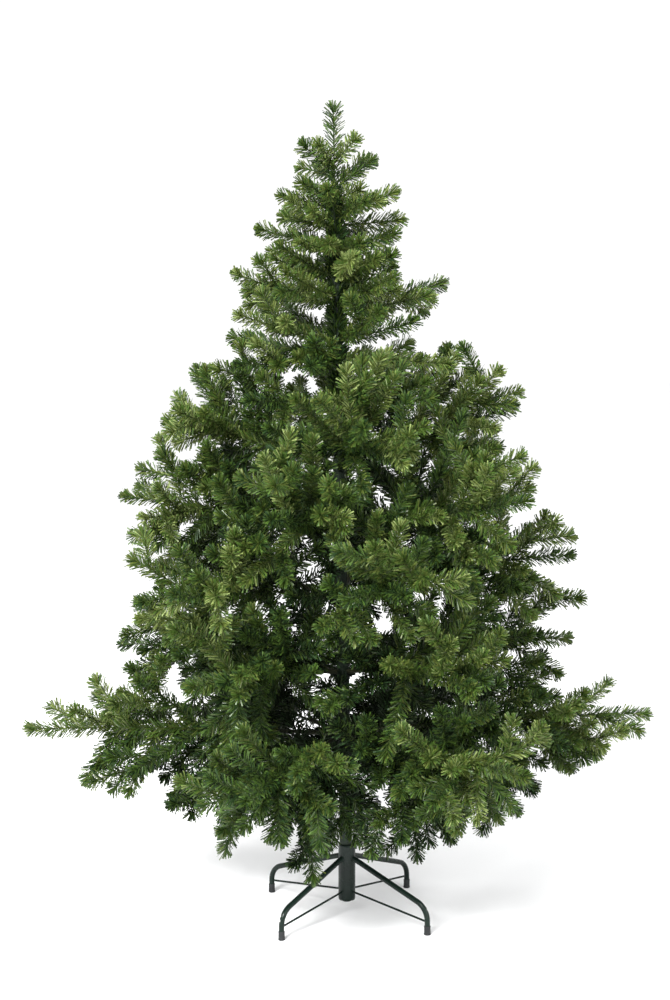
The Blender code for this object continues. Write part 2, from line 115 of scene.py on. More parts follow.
# Each tier: its seed, its height on the pole and the bearing of its first bough; the boughs'
# reaches, anticlockwise from there; their slope at root and tip; the share of the reach
# before the first side twig; the side twigs' spacing; how these are rolled round the stem, in
# degrees, and how the finer ones between them are; and whether that first share is a hinged
# bough of its own or the start of the mass's stem. The lowest tier also has each bough's
# drooping twigs, by share and roll, and how many finer ones hang near each bough's root.
TIERS = (
    dict(name="skirt", seed=2, height=0.41, first=185,
         reach=(0.71, 0.57, 0.63, 0.71, 0.56, 0.52), rise=5, tip=-3, clear=0.20, spacing=0.046,
         rolls=(5, -75, -60, 45), fine_rolls=(-60, -120, 20, -90), hinged=True,
         droops=((), ((0.45, -105),), ((0.40, -70),), (), ((0.45, -75),), ((0.45, -75),)),
         low_twigs=24),
    dict(name="low", seed=2, height=0.55, first=163, reach=(0.55, 0.50, 0.52, 0.56, 0.48),
         rise=11, tip=-3, clear=0.26, spacing=0.056, rolls=(5, 62, -45),
         fine_rolls=(0, 90, 180, -90), hinged=True),
    dict(name="middle", seed=2, height=0.71, first=4, reach=(0.53, 0.52, 0.48, 0.58, 0.48),
         rise=17, tip=-2, clear=0.28, spacing=0.056, rolls=(5, 62, -40),
         fine_rolls=(0, 90, 180, -90), hinged=True),
    dict(name="upper", seed=2, height=0.86, first=183, reach=(0.49, 0.46, 0.50, 0.47, 0.46),
         rise=12, tip=9, clear=0.30, spacing=0.056, rolls=(5, 62, -45),
         fine_rolls=(0, 90, 180, -90), hinged=False),
    dict(name="high", seed=2, height=1.01, first=186, reach=(0.39, 0.41, 0.40, 0.37),
         rise=18, tip=15, clear=0.30, spacing=0.056, rolls=(5, 62, -55),
         fine_rolls=(0, 90, 180, -90), hinged=False),
)
WHORLS = (
    dict(seed=190, low=1.13, high=1.25, counts=(6, 6), length=0.305, rise=2),
    dict(seed=188, low=1.27, high=1.38, counts=(6, 6), length=0.27, rise=12),
    dict(seed=240, low=1.40, high=1.50, counts=(6, 5), length=0.18, rise=12),
    dict(seed=343, low=1.52, high=1.59, counts=(5, 4), length=0.15, rise=12),
)
SLEEVE_WALL = 0.005
LEADER = dict(seed=1, low=1.61, high=1.80, count=7, length=0.11, rise=24, step=0.009)

BOUGH_STRAY = dict(bearing=7, rise=3, tip=4)
SIDE_TWIG = dict(first=0.02, angle=(38, 62), roll_stray=22, least=0.125, gain=0.25, full=0.88,
                 gain_stray=(0.75, 1.2), longest=0.26)
HANGING = dict(roll=-10, wider=8, within=0.62, outer_roll=-20)
DROOP = dict(roll_stray=10, angle=(66, 78), length=(0.25, 0.27))
FORK = dict(least=0.18, second=0.235, first_place=0.36, step=0.24, angle=(38, 60), roll=60,
            length=(0.10, 0.14))
WHORL_TWIG = dict(margin=0.015, turn=47, bearing=14, rise=9, height=0.012, shorter=0.1,
                  length=(0.85, 1.08), forked=0.24, angle=(35, 55), fork_length=(0.09, 0.12))
LEADER_TWIG = dict(bearing=18, rise=(-16, 10), length=(0.9, 1.1))

# When a twig's room is tested: the share next to its root that is left out, how far apart
# two twigs need no test, and how nearly alike two ways count as parallel
ROOTED_SHARE = 0.3
FAR_APART = 0.6
PARALLEL = 1e-12

# The finer twigs that only show here: between the side twigs, round each stem near the
# pole, hanging under the lowest tier, on other twigs, and in the whorls
FINE_TWIG = dict(places=(0.2, 0.45, 0.7), beyond=0.02, out_to=0.50, roll_stray=40,
                 angle=(40, 66), least=0.11, gain=0.22, full=0.9, gain_stray=(0.6, 1.1),
                 longest=0.24)
INNER_TWIG = dict(count=12, out=(0.01, 0.10), rolls=(0, 360), roll_stray=25, angle=(85, 135),
                  length=(0.14, 0.20))
LOW_TWIG = dict(out=(0.0, 0.16), rolls=(-165, -15), roll_stray=15, angle=(85, 125),
                length=(0.18, 0.24))
FINE_FORK = dict(short=0.15, first_place=0.32, step=0.26, place_stray=0.08, angle=(36, 60),
                 length=(0.09, 0.125))
SISTER_TWIG = dict(turn=(22, 40), lift=(-0.12, 0.12), drop=0.03, length=(0.75, 1.0))
SISTER_FORK = dict(least=0.20, place=(0.4, 0.6), angle=(35, 55), length=(0.08, 0.11))

# The least room between a finer twig and other masses, and between the tips of finer twigs
FINE_CLEARANCE = 0.034
TIP_CLEARANCE = 0.032
FIRST_FINE_LEVEL = 3
LEVELS = 5

# How a twig bends: the most its tip strays, as a share of its length, and its lift
TWIG_BEND = 0.07
TWIG_LIFT = 0.04


# --- Growth -------------------------------------------------------------------


def pole_radius(height):
    return next(radius for top, radius in POLE_SECTIONS if height <= top)


def ring_reach(radius, bearing):
    """How far a many-sided ring's nearest corner stands out along a bearing."""
    facet = math.tau / HINGE_RING_SIDES
    return radius * math.cos((bearing + facet / 2) % facet - facet / 2)


def stray_by(rng, amount):
    return rng.uniform(-amount, amount)


def way_of(bearing, rise):
    return Vector((math.cos(bearing) * math.cos(rise), math.sin(bearing) * math.cos(rise),
                   math.sin(rise)))


class Bough:
    """A bough's axis: straight in plan, bending from its rise to its tip's slope."""

    def __init__(self, tier, number):
        rng = random.Random(f"{tier['seed']}-{tier['name']}-{number}")
        count = len(tier["reach"])
        self.name = f"{tier['name']}_{number + 1}"
        self.seed = tier["seed"]
        self.reach = tier["reach"][number]
        self.rolls = tier["rolls"]
        self.fine_rolls = tier["fine_rolls"]
        self.spacing = tier["spacing"]
        self.droops = tier["droops"][number] if "droops" in tier else ()
        self.low_twigs = tier.get("low_twigs", 0)
        self.clear = tier["clear"]
        self.height = tier["height"]
        self.hinged = tier["hinged"]
        stray = stray_by(rng, BOUGH_STRAY["bearing"]) if number else 0
        self.bearing = math.radians(tier["first"] + 360 * number / count + stray)
        self.slope = math.tan(math.radians(tier["rise"] + stray_by(rng, BOUGH_STRAY["rise"])))
        self.end_slope = math.tan(math.radians(tier["tip"] + stray_by(rng, BOUGH_STRAY["tip"])))
        flat = math.cos(math.pi / BOUGH_SIDES)
        radius = BOUGH_RADIUS_ROOT * flat if self.hinged else STEM_ROOT_RADIUS
        seat = ring_reach(pole_radius(self.height) + HINGE_RING_PROUD, self.bearing) + GAP
        self.root = (seat + radius * math.sin(math.atan(self.slope))) / self.reach

    def at(self, share):
        climb = self.slope * share + (self.end_slope - self.slope) * share * share / 2
        return Vector((self.reach * share * math.cos(self.bearing),
                       self.reach * share * math.sin(self.bearing),
                       self.height + self.reach * climb))

    def along(self, share):
        slope = self.slope + (self.end_slope - self.slope) * share
        return Vector((math.cos(self.bearing), math.sin(self.bearing), slope)).normalized()

    def side_shares(self):
        """Where the side twigs spring: the first and last share, and how many there are."""
        last = 1 - END_TWIG / self.reach
        count = max(LEAST_TWIGS, round(self.reach * (last - self.clear) / self.spacing))
        return self.clear + SIDE_TWIG["first"], last, count


class Spray:
    """One twig clothed in needles: ring centres from its root on, and its tip.

    Level 0 is a mass's stem, level 1 its side twigs and level 2 their own twigs. Levels 3
    and 4 are the finer twigs. A twig bends a little, and carries its own twigs with it.
    """

    def __init__(self, seed, mass, label, points, level, parent=None):
        self.seed = seed
        self.mass = mass
        self.key = f"{seed}-{mass}-{label}"
        self.points = points
        self.level = level
        self.parent = parent
        rng = random.Random(f"{self.key}-bend")
        length = self.length()
        stray = Vector([stray_by(rng, TWIG_BEND) for _ in range(3)])
        self.bend = (stray + Vector((0, 0, TWIG_LIFT))) * length if level else Vector()

    def length(self):
        return (self.points[-1] - self.points[0]).length

    def way(self):
        return (self.points[-1] - self.points[0]).normalized()

    def twig(self, label, start, way, length, level):
        """A twig of this one's own, which it carries along as it bends."""
        return Spray(self.seed, self.mass, label, straight_twig(start, way, length), level, self)

    def from_axis(self):
        """How far from the pole it springs."""
        return math.hypot(self.points[0].x, self.points[0].y)

    def segments(self, skipped_share=0.0):
        """Its straight lengths, without those that start in the share next to its root."""
        first = int(skipped_share * (len(self.points) - 1) + 0.5)
        return list(zip(self.points[first:], self.points[first + 1:]))

    def shift_at(self, share):
        """How far bending has moved the point at this share of its length."""
        own = self.bend * share * share
        if self.parent is None:
            return own
        root = self.points[0] - self.parent.points[0]
        return own + self.parent.shift_at(min(1, root.length / self.parent.length()))

    def place(self, share):
        """The point at this share of the bent twig's length."""
        steps = [(b - a).length for a, b in self.segments()]
        left = share * sum(steps)
        for (a, b), step in zip(self.segments(), steps):
            if left <= step or b is self.points[-1]:
                return a.lerp(b, left / step) + self.shift_at(share)
            left -= step


def side_way(along, angle, roll):
    """The way that a side twig leaves a stem; roll 0 is level, 90 is upward."""
    side = along.cross(UP).normalized()
    up = side.cross(along)
    way = along * math.cos(angle) + math.sin(angle) * (side * math.cos(roll) + up * math.sin(roll))
    return way.normalized()


def any_side(rng, along, angles):
    """A way that leaves a twig on any side, at a seeded angle."""
    angle = math.radians(rng.uniform(*angles))
    return side_way(along, angle, rng.uniform(0, math.tau))


def straight_twig(start, way, length):
    clothed = length - SPRAY_SHANK - SPRAY_POINT
    bands = max(1, round(clothed / NEEDLE_BAND))
    stations = [0] + [SPRAY_SHANK + clothed * k / bands for k in range(bands + 1)] + [length]
    return [start + way * station for station in stations]


def stem_of(bough):
    """The stem follows the bough's bend, from the bough's tip or from the pole."""
    first = bough.clear + GAP / bough.reach if bough.hinged else bough.root
    last = 1 - SPRAY_POINT / bough.reach
    bands = max(3, round(bough.reach * (last - first) / NEEDLE_BAND))
    points = [bough.at(first + (last - first) * k / bands) for k in range(bands + 1)]
    return Spray(bough.seed, bough.name, "stem", points + [bough.at(1)], 0)


def twigs_on_stem(bough, stem):
    """Side twigs alternate left and right along the stem, each with a twig or two of its own."""
    twigs = []
    first_share, last_share, count = bough.side_shares()
    for number in range(count):
        rng = random.Random(f"{stem.key}-{number}")
        share = first_share + (last_share - first_share) * number / (count - 1)
        roll = bough.rolls[number % len(bough.rolls)]
        angle = rng.uniform(*SIDE_TWIG["angle"])
        if roll < HANGING["roll"]:
            angle += HANGING["wider"]
            roll = roll if share < HANGING["within"] else HANGING["outer_roll"]
        roll = math.radians(roll + stray_by(rng, SIDE_TWIG["roll_stray"]))
        way = side_way(bough.along(share), math.radians(angle),
                       math.pi - roll if number % 2 else roll)
        gain = (SIDE_TWIG["gain"] * (SIDE_TWIG["full"] - share)
                * rng.uniform(*SIDE_TWIG["gain_stray"]))
        length = min(SIDE_TWIG["longest"], SIDE_TWIG["least"] + gain)
        start = bough.at(share)
        twig = stem.twig(number, start, way, length, 1)
        twigs.append(twig)
        forks = (length > FORK["least"]) + (length >= FORK["second"])
        for k in range(forks):
            fork = start + way * length * (FORK["first_place"] + FORK["step"] * k)
            angle = math.radians(rng.uniform(*FORK["angle"]))
            roll = math.radians(stray_by(rng, FORK["roll"]))
            fork_way = side_way(way, angle, roll if (k + number) % 2 else math.pi - roll)
            twigs.append(twig.twig(f"{number}-{k}", fork, fork_way,
                                   rng.uniform(*FORK["length"]), 2))
    for k, (share, roll) in enumerate(bough.droops):
        rng = random.Random(f"{stem.key}-droop-{k}")
        roll = math.radians(roll + stray_by(rng, DROOP["roll_stray"]))
        way = side_way(bough.along(share), math.radians(rng.uniform(*DROOP["angle"])), roll)
        twigs.append(stem.twig(f"droop-{k}", bough.at(share), way,
                               rng.uniform(*DROOP["length"]), 1))
    return twigs


def whorl_sprays(number, whorl):
    """Rings of twigs rooted in the sleeve round the pole."""
    name = f"whorl_{number + 1}"
    seed = whorl["seed"]
    rule = WHORL_TWIG
    sprays = []
    root = pole_radius(whorl["high"]) + GAP + SLEEVE_WALL / 2
    lowest, highest = whorl["low"] + rule["margin"], whorl["high"] - rule["margin"]
    levels = len(whorl["counts"])
    for level, count in enumerate(whorl["counts"]):
        ring = lowest + (highest - lowest) * level / (levels - 1)
        for k in range(count):
            rng = random.Random(f"{seed}-{name}-{level}-{k}")
            turn = 360 * (k + level / levels) / count + rule["turn"] * number
            bearing = math.radians(turn + stray_by(rng, rule["bearing"]))
            rise = math.radians(whorl["rise"] + stray_by(rng, rule["rise"]))
            height = ring + stray_by(rng, rule["height"])
            length = whorl["length"] * (1 - rule["shorter"] * level) * rng.uniform(*rule["length"])
            way = way_of(bearing, rise)
            start = Vector((root * math.cos(bearing), root * math.sin(bearing), height))
            twig = Spray(seed, name, f"{level}-{k}", straight_twig(start, way, length), 1)
            sprays.append(twig)
            if length > rule["forked"]:
                fork_way = any_side(rng, way, rule["angle"])
                sprays.append(twig.twig(f"{level}-{k}-0", start + way * length / 2, fork_way,
                                        rng.uniform(*rule["fork_length"]), 2))
    return sprays


def leader_sprays():
    """The upright tip above the pole, with short twigs round its foot."""
    foot = Vector((0, 0, POLE_SECTIONS[-1][0] + GAP))
    points = straight_twig(foot, UP, LEADER["high"] - foot.z)
    stem = Spray(LEADER["seed"], "leader", "stem", points, 0)
    sprays = [stem]
    for k in range(LEADER["count"]):
        rng = random.Random(f"{stem.key}-{k}")
        stray = stray_by(rng, LEADER_TWIG["bearing"])
        bearing = math.radians(360 * k / LEADER["count"] + stray)
        rise = math.radians(LEADER["rise"] + rng.uniform(*LEADER_TWIG["rise"]))
        start = Vector((0, 0, LEADER["low"] + LEADER["step"] * k))
        length = LEADER["length"] * rng.uniform(*LEADER_TWIG["length"])
        sprays.append(stem.twig(k, start, way_of(bearing, rise), length, 1))
    return sprays


def fine_twigs_on_stem(bough, stem, coarse):
    """Twigs between the side twigs, rolled in turn, inner and low ones, and short ones on all."""
    twigs = []
    first_share, last_share, count = bough.side_shares()
    step = (last_share - first_share) / (count - 1)
    for number in range(count):
        for extra, place in enumerate(FINE_TWIG["places"]):
            rng = random.Random(f"{stem.key}-fine-{number}-{extra}")
            share = first_share + step * (number + place)
            if share > min(last_share + FINE_TWIG["beyond"], FINE_TWIG["out_to"] / bough.reach):
                continue
            turn = number * len(FINE_TWIG["places"]) + extra
            roll = bough.fine_rolls[turn % len(bough.fine_rolls)]
            roll = math.radians(roll + stray_by(rng, FINE_TWIG["roll_stray"]))
            angle = math.radians(rng.uniform(*FINE_TWIG["angle"]))
            way = side_way(bough.along(share), angle, roll)
            gain = (FINE_TWIG["gain"] * (FINE_TWIG["full"] - share)
                    * rng.uniform(*FINE_TWIG["gain_stray"]))
            length = min(FINE_TWIG["longest"], FINE_TWIG["least"] + gain)
            twigs.append(stem.twig(f"fine-{number}-{extra}", bough.at(share), way, length, 3))
    twigs += twigs_round_stem(bough, stem, "inner", INNER_TWIG, INNER_TWIG["count"])
    twigs += twigs_round_stem(bough, stem, "low", LOW_TWIG, bough.low_twigs)
    for twig in coarse:
        if twig.mass != bough.name or twig.level == 0 or twig.from_axis() > FINE_TWIG["out_to"]:
            continue
        length, way = twig.length(), twig.way()
        for k in range(1 if length < FINE_FORK["short"] else 2):
            rng = random.Random(f"{twig.key}-fine-{k}")
            place = (FINE_FORK["first_place"] + FINE_FORK["step"] * k
                     + rng.uniform(0, FINE_FORK["place_stray"]))
            fork_way = any_side(rng, way, FINE_FORK["angle"])
            twigs.append(twig.twig(f"{twig.key}-fine-{k}", twig.points[0] + way * length * place,
                                   fork_way, rng.uniform(*FINE_FORK["length"]), 4))
    return twigs


def twigs_round_stem(bough, stem, label, rule, count):
    """Twigs from the part of the stem next to the pole, turned round it by a rule's rolls."""
    twigs = []
    first_roll, last_roll = rule["rolls"]
    for number in range(count):
        rng = random.Random(f"{stem.key}-{label}-{number}")
        share = bough.clear + rng.uniform(*rule["out"]) / bough.reach
        roll = (first_roll + (last_roll - first_roll) * number / count
                + stray_by(rng, rule["roll_stray"]))
        angle = math.radians(rng.uniform(*rule["angle"]))
        way = side_way(bough.along(share), angle, math.radians(roll))
        twigs.append(stem.twig(f"{label}-{number}", bough.at(share), way,
                               rng.uniform(*rule["length"]), 3))
    return twigs


def fine_twigs_in_whorl(number, coarse):
    """A sister beside each twig of the ring, and a short twig on the long ones."""
    name = f"whorl_{number + 1}"
    twigs = []
    for twig in coarse:
        if twig.mass != name or twig.level != 1:
            continue
        rng = random.Random(f"{twig.key}-fine")
        length, way = twig.length(), twig.way()
        turn = Matrix.Rotation(math.radians(rng.uniform(*SISTER_TWIG["turn"])), 3, "Z")
        sister = turn @ way + Vector((0, 0, rng.uniform(*SISTER_TWIG["lift"])))
        start = turn @ twig.points[0] + Vector((0, 0, stray_by(rng, SISTER_TWIG["drop"])))
        points = straight_twig(start, sister.normalized(),
                               length * rng.uniform(*SISTER_TWIG["length"]))
        twigs.append(Spray(twig.seed, name, f"{twig.key}-sister", points, 3))
        if length > SISTER_FORK["least"]:
            fork_way = any_side(rng, way, SISTER_FORK["angle"])
            fork = twig.points[0] + way * length * rng.uniform(*SISTER_FORK["place"])
            twigs.append(twig.twig(f"{twig.key}-fork", fork, fork_way,
                                   rng.uniform(*SISTER_FORK["length"]), 4))
    return twigs


def gap_between(a, b, c, d):
    """The least distance between the straight lengths a-b and c-d."""
    first, second, offset = b - a, d - c, a - c
    aa, bb, ab = first.dot(first), second.dot(second), first.dot(second)
    ao, bo = first.dot(offset), second.dot(offset)
    spread = aa * bb - ab * ab
    s = min(1, max(0, (ab * bo - ao * bb) / spread)) if spread > PARALLEL else 0
    t = (ab * s + bo) / bb
    if t < 0:
        t, s = 0, min(1, max(0, -ao / aa))
    elif t > 1:
        t, s = 1, min(1, max(0, (ab - ao) / aa))
    return (offset + first * s - second * t).length


def crowded(spray, kept, limbs, clearance):
    """Whether a twig would hang too low, or come too near another mass's twig or limb."""
    if min(point.z for point in spray.points) < LOWEST_TWIG:
        return True
    own = spray.segments(ROOTED_SHARE)
    for other in kept:
        if other.mass == spray.mass:
            continue
        if (other.points[1] - spray.points[1]).length > FAR_APART:
            continue
        if any(gap_between(a, b, c, d) < clearance for a, b in own for c, d in other.segments()):
            return True
    return any(gap_between(a, b, c, d) < clearance for a, b in own
               for name, c, d in limbs if name != spray.mass)


def beside_sister(spray, kept):
    """Whether a fine twig would end where another twig of its mass does."""
    return any(other.mass == spray.mass
               and (other.points[-1] - spray.points[-1]).length < TIP_CLEARANCE for other in kept)


@functools.lru_cache(maxsize=1)
def grown_tree():
    """The boughs, and every twig that keeps clear of the other masses, stems first."""
    boughs = [Bough(tier, number) for tier in TIERS for number in range(len(tier["reach"]))]
    limbs = [(b.name, b.at(b.root), b.at(b.clear)) for b in boughs if b.hinged]
    stems = {bough.name: stem_of(bough) for bough in boughs}
    twigs = []
    for bough in boughs:
        twigs.append(stems[bough.name])
        twigs += twigs_on_stem(bough, stems[bough.name])
    for number, whorl in enumerate(WHORLS):
        twigs += whorl_sprays(number, whorl)
    twigs += leader_sprays()
    kept = []
    for level in range(LEVELS):
        if level == FIRST_FINE_LEVEL:
            coarse = list(kept)
            for bough in boughs:
                twigs += fine_twigs_on_stem(bough, stems[bough.name], coarse)
            for number in range(len(WHORLS)):
                twigs += fine_twigs_in_whorl(number, coarse)
        fine = level >= FIRST_FINE_LEVEL
        clearance = FINE_CLEARANCE if fine else SPRAY_CLEARANCE
        for spray in twigs:
            if spray.level != level or (spray.parent and spray.parent not in kept):
                continue
            if fine and beside_sister(spray, kept):
                continue
            if level == 0 or not crowded(spray, kept, limbs, clearance):
                kept.append(spray)
    return boughs, kept


def pole_axis():
    """Leans the pole, and all that it carries, about the socket's floor."""
    foot = Vector((0, 0, SOCKET_LOW + SOCKET_FLOOR))
    lean = Matrix.Rotation(-POLE_LEAN, 4, "Y")
    return Matrix.Translation(foot) @ lean @ Matrix.Translation(-foot)


# --- Settings -----------------------------------------------------------------


def length_setting(name, description, default):
    return FloatProperty(name=name, description=description, default=default, min=0.0001,
                         unit="LENGTH", subtype="DISTANCE", precision=5)


def colour_setting(name, description, default):
    return FloatVectorProperty(name=name, description=description, default=default, size=3,
                               min=0.0, max=1.0, subtype="COLOR")


class StandSettings(PropertyGroup):
    leg_radius: length_setting("Leg radius", "Radius of the bent leg tube", 0.006)
    brace_radius: length_setting("Brace radius", "Radius of the thin brace rods", 0.0023)
    cap_radius: length_setting("Cap radius", "Radius of the rubber caps at the floor", 0.0075)
    weld_radius: length_setting("Weld radius", "Size of the weld beads at the tube ends", 0.0018)
    steel: colour_setting("Enamel", "Dark green enamel of the stand", (0.005, 0.011, 0.008))
    # Pale grey of the patches on the front legs' bends
    bare_steel: colour_setting("Chip", "Chalky grey where the enamel is chipped",
                               (0.42, 0.44, 0.41))
    rubber: colour_setting("Rubber", "Black rubber of the caps", (0.011, 0.012, 0.013))


class PoleSettings(PropertyGroup):
    paint: colour_setting("Pole paint", "Dark green paint of the pole and hinges",
                          (0.007, 0.014, 0.007))
    rod_root: length_setting("Bough rod root", "Radius of a bough rod at its hinge", 0.0052)
    rod_tip: length_setting("Bough rod tip", "Radius of a bough rod at its outer end", 0.0042)
    plate: length_setting("Hinge plate", "Thickness of a hinge's cheek plates", 0.0016)
    wrap: colour_setting("Rod wrap", "Film wound round the bough rods", (0.022, 0.024, 0.012))


class NeedleSettings(PropertyGroup):
    length: length_setting("Needle length", "Length of one needle from the wire", 0.031)
    root: length_setting("Needle root", "Width of the cut film at the wire", 0.0017)
    tip: length_setting("Needle tip", "Width of the cut film at its blunt end", 0.0029)
    spacing: length_setting("Needle spacing", "Closest step along the wire from needle to needle",
                            0.00056)
    slant: FloatProperty(name="Slant", description="Angle of the needles to the wire",
                         default=math.radians(51), subtype="ANGLE")
    spread: FloatProperty(name="Slant spread", description="How far a slant strays, as a share",
                          default=0.26, min=0.0, max=1.0)
    least: FloatProperty(name="Least size", default=0.80, min=0.1, max=1.0,
                         description="Shortest needle, as a share of the longest")
    tint: FloatProperty(name="Tint spread", description="How far a needle strays from its spray's "
                        "green, in steps of the list", default=1.6, min=0.0)
    seed: IntProperty(name="Seed", description="Seed of the needles' small differences", default=7)
    wire_root: length_setting("Wire root", "Radius of a twig's twisted wire at its root", 0.0018)
    wire_tip: length_setting("Wire tip", "Radius of a twig's twisted wire at its tip", 0.0010)
    wire: colour_setting("Twig wire", "Green film wound on the twisted wire",
                         (0.026, 0.038, 0.012))


# The greens in order from painted shade to painted light, dealt out by a spray's place in the
# crown
class GreenSettings(PropertyGroup):
    # The darkest green, dealt mostly to sprays near the pole as painted shade
    deep: colour_setting("Deep green", "Sprays near the pole", (0.005, 0.010, 0.003))
    cool: colour_setting("Cool green", "Slightly bluish green", (0.014, 0.033, 0.009))
    mid: colour_setting("Mid green", "Commonest green", (0.029, 0.050, 0.008))
    leaf: colour_setting("Leaf green", "Clearer green", (0.042, 0.080, 0.013))
    moss: colour_setting("Moss green", "Yellowish green", (0.068, 0.090, 0.018))
    # The palest green, dealt mostly to the outer and upper sprays as painted light
    light: colour_setting("Light green", "Pale yellowish green", (0.140, 0.178, 0.056))


class StageSettings(PropertyGroup):
    floor: colour_setting("Floor", "Plain pale studio floor", (0.95, 0.955, 0.96))
    sky: FloatProperty(name="Sky", description="Strength of the even white surround", default=1.06,
                       min=0.0)
    key: FloatProperty(name="Key light", description="Large soft light above the viewer's left",
                       default=760.0, min=0.0, unit="POWER")
    fill: FloatProperty(name="Fill light", description="Large soft light from the viewer's right",
                        default=130.0, min=0.0, unit="POWER")


SETTINGS = {
    "tree_stand": StandSettings,
    "tree_pole": PoleSettings,
    "tree_needles": NeedleSettings,
    "tree_greens": GreenSettings,
    "tree_stage": StageSettings,
}


# --- Node trees ---------------------------------------------------------------


PATH_VALUES = ("thickness", "reach", "fan", "green", "density", "tint")

# The power of the needles' density by which they get wider where fewer stand
WIDER_WHERE_FEWER = -0.5


def socket_of(sockets, name):
    """Of the sockets so named, the one in use."""
    return next(socket for socket in sockets if socket.name == name and socket.enabled)


def feed(tree, socket, term):
    """Gives a socket its value, or links it to the output that it follows."""
    if isinstance(term, bpy.types.NodeSocket):
        tree.links.new(term, socket)
    else:
        socket.default_value = term


def put(tree, kind, *terms, **values):
    """Adds a node, sets its fields, and feeds its first inputs in turn and others by name."""
    node = tree.nodes.new(kind)
    for name in [name for name in values if hasattr(node, name)]:
        setattr(node, name, values.pop(name))
    for socket, term in zip(node.inputs, terms):
        feed(tree, socket, term)
    for name, term in values.items():
        feed(tree, socket_of(node.inputs, name.replace("_", " ")), term)
    return node


def geometry_tree(name, inputs):
    """An empty tree with a mesh input, the named inputs and a mesh output."""
    tree = bpy.data.node_groups.new(name, "GeometryNodeTree")
    tree.interface.new_socket("Mesh", in_out="INPUT", socket_type="NodeSocketGeometry")
    for label, kind in inputs:
        tree.interface.new_socket(label, in_out="INPUT", socket_type=kind)
    tree.interface.new_socket("Mesh", in_out="OUTPUT", socket_type="NodeSocketGeometry")
    return tree, tree.nodes.new("NodeGroupInput").outputs, tree.nodes.new("NodeGroupOutput").inputs


def named(tree, name):
    return put(tree, "GeometryNodeInputNamedAttribute", data_type="FLOAT", Name=name).outputs[0]


def math_of(tree, operation, first, second):
    return put(tree, "ShaderNodeMath", first, second, operation=operation).outputs[0]


def turned_on(tree, rotation, y=0.0, z=0.0):
    """A rotation turned further about its own axes."""
    angles = put(tree, "ShaderNodeCombineXYZ", 0.0, y, z)
    return put(tree, "FunctionNodeRotateRotation", Rotation=rotation,
               Rotate_By=angles.outputs[0], rotation_space="LOCAL").outputs[0]


def wire_tree():
    """Clothes open paths with round wire of each point's own thickness."""
    tree, given, out = geometry_tree("Wire", [("Sides", "NodeSocketInt"),
                                              ("Finish", "NodeSocketMaterial")])
    path = put(tree, "GeometryNodeMeshToCurve", Mesh=given["Mesh"])
    ring = put(tree, "GeometryNodeCurvePrimitiveCircle", Resolution=given["Sides"], Radius=1.0)
    tube = put(tree, "GeometryNodeCurveToMesh", Curve=path.outputs[0],
               Profile_Curve=ring.outputs[0], Scale=named(tree, "thickness"), Fill_Caps=True)
    real = put(tree, "GeometryNodeRealizeInstances", Geometry=tube.outputs[0])
    done = put(tree, "GeometryNodeSetMaterial", Geometry=real.outputs[0],
               Material=given["Finish"])
    tree.links.new(done.outputs[0], out["Mesh"])
    return tree


def brush_tree(greens):
    """Sets a needle at every step of each path, turned, tipped and tinted by a seed."""
    tree, given, out = geometry_tree("Needle brush", [
        ("Needle", "NodeSocketObject"), ("Spacing", "NodeSocketFloat"),
        ("Slant", "NodeSocketFloat"), ("Slant Spread", "NodeSocketFloat"),
        ("Least Size", "NodeSocketFloat"), ("Tint Spread", "NodeSocketFloat"),
        ("Seed", "NodeSocketInt")] + [(green.name, "NodeSocketMaterial") for green in greens])

    def chance(low, high, offset):
        seed = math_of(tree, "ADD", given["Seed"], offset)
        node = put(tree, "FunctionNodeRandomValue", data_type="FLOAT", Min=low, Max=high,
                   Seed=seed)
        return socket_of(node.outputs, "Value")

    def times(first, second):
        return math_of(tree, "MULTIPLY", first, second)

    path = put(tree, "GeometryNodeMeshToCurve", Mesh=given["Mesh"])
    steps = put(tree, "GeometryNodeCurveToPoints", Curve=path.outputs[0],
                Length=given["Spacing"], mode="LENGTH")
    needle = put(tree, "GeometryNodeObjectInfo", Object=given["Needle"])
    strayed = math_of(tree, "ADD", named(tree, "green"),
                      times(given["Tint Spread"], chance(-1.0, 1.0, 4)))
    tint = put(tree, "ShaderNodeClamp", Value=strayed, Min=0.0, Max=len(greens) - 1.0)
    points = put(tree, "GeometryNodeStoreNamedAttribute", Geometry=steps.outputs["Points"],
                 Value=tint.outputs[0], Name="tint", data_type="FLOAT", domain="POINT")
    aligned = put(tree, "FunctionNodeAlignRotationToVector", Vector=steps.outputs["Tangent"],
                  axis="Z").outputs[0]
    spread = math_of(tree, "ADD", 1.0, times(given["Slant Spread"], chance(-1.0, 1.0, 1)))
    slant = times(times(given["Slant"], spread), named(tree, "fan"))
    tipped = turned_on(tree, aligned, y=slant, z=chance(0.0, math.tau, 0))
    twisted = turned_on(tree, tipped, z=chance(0.0, math.tau, 2))
    size = times(named(tree, "reach"), chance(given["Least Size"], 1.0, 3))
    width = math_of(tree, "POWER", named(tree, "density"), WIDER_WHERE_FEWER)
    scale = put(tree, "ShaderNodeCombineXYZ", width, width, size)
    present = put(tree, "FunctionNodeCompare", A=chance(0.0, 1.0, 5), B=named(tree, "density"),
                  data_type="FLOAT", operation="LESS_THAN")
    planted = put(tree, "GeometryNodeInstanceOnPoints", Points=points.outputs[0],
                  Selection=present.outputs[0], Instance=needle.outputs["Geometry"],
                  Rotation=twisted, Scale=scale.outputs[0])
    last = put(tree, "GeometryNodeRealizeInstances", Geometry=planted.outputs[0]).outputs[0]
    for number, green in enumerate(greens):
        same = put(tree, "FunctionNodeCompare", A=named(tree, "tint"), B=float(number),
                   Epsilon=0.5, data_type="FLOAT", operation="EQUAL")
        last = put(tree, "GeometryNodeSetMaterial", Geometry=last, Selection=same.outputs[0],
                   Material=given[green.name]).outputs[0]
    tree.links.new(last, out["Mesh"])
    return tree


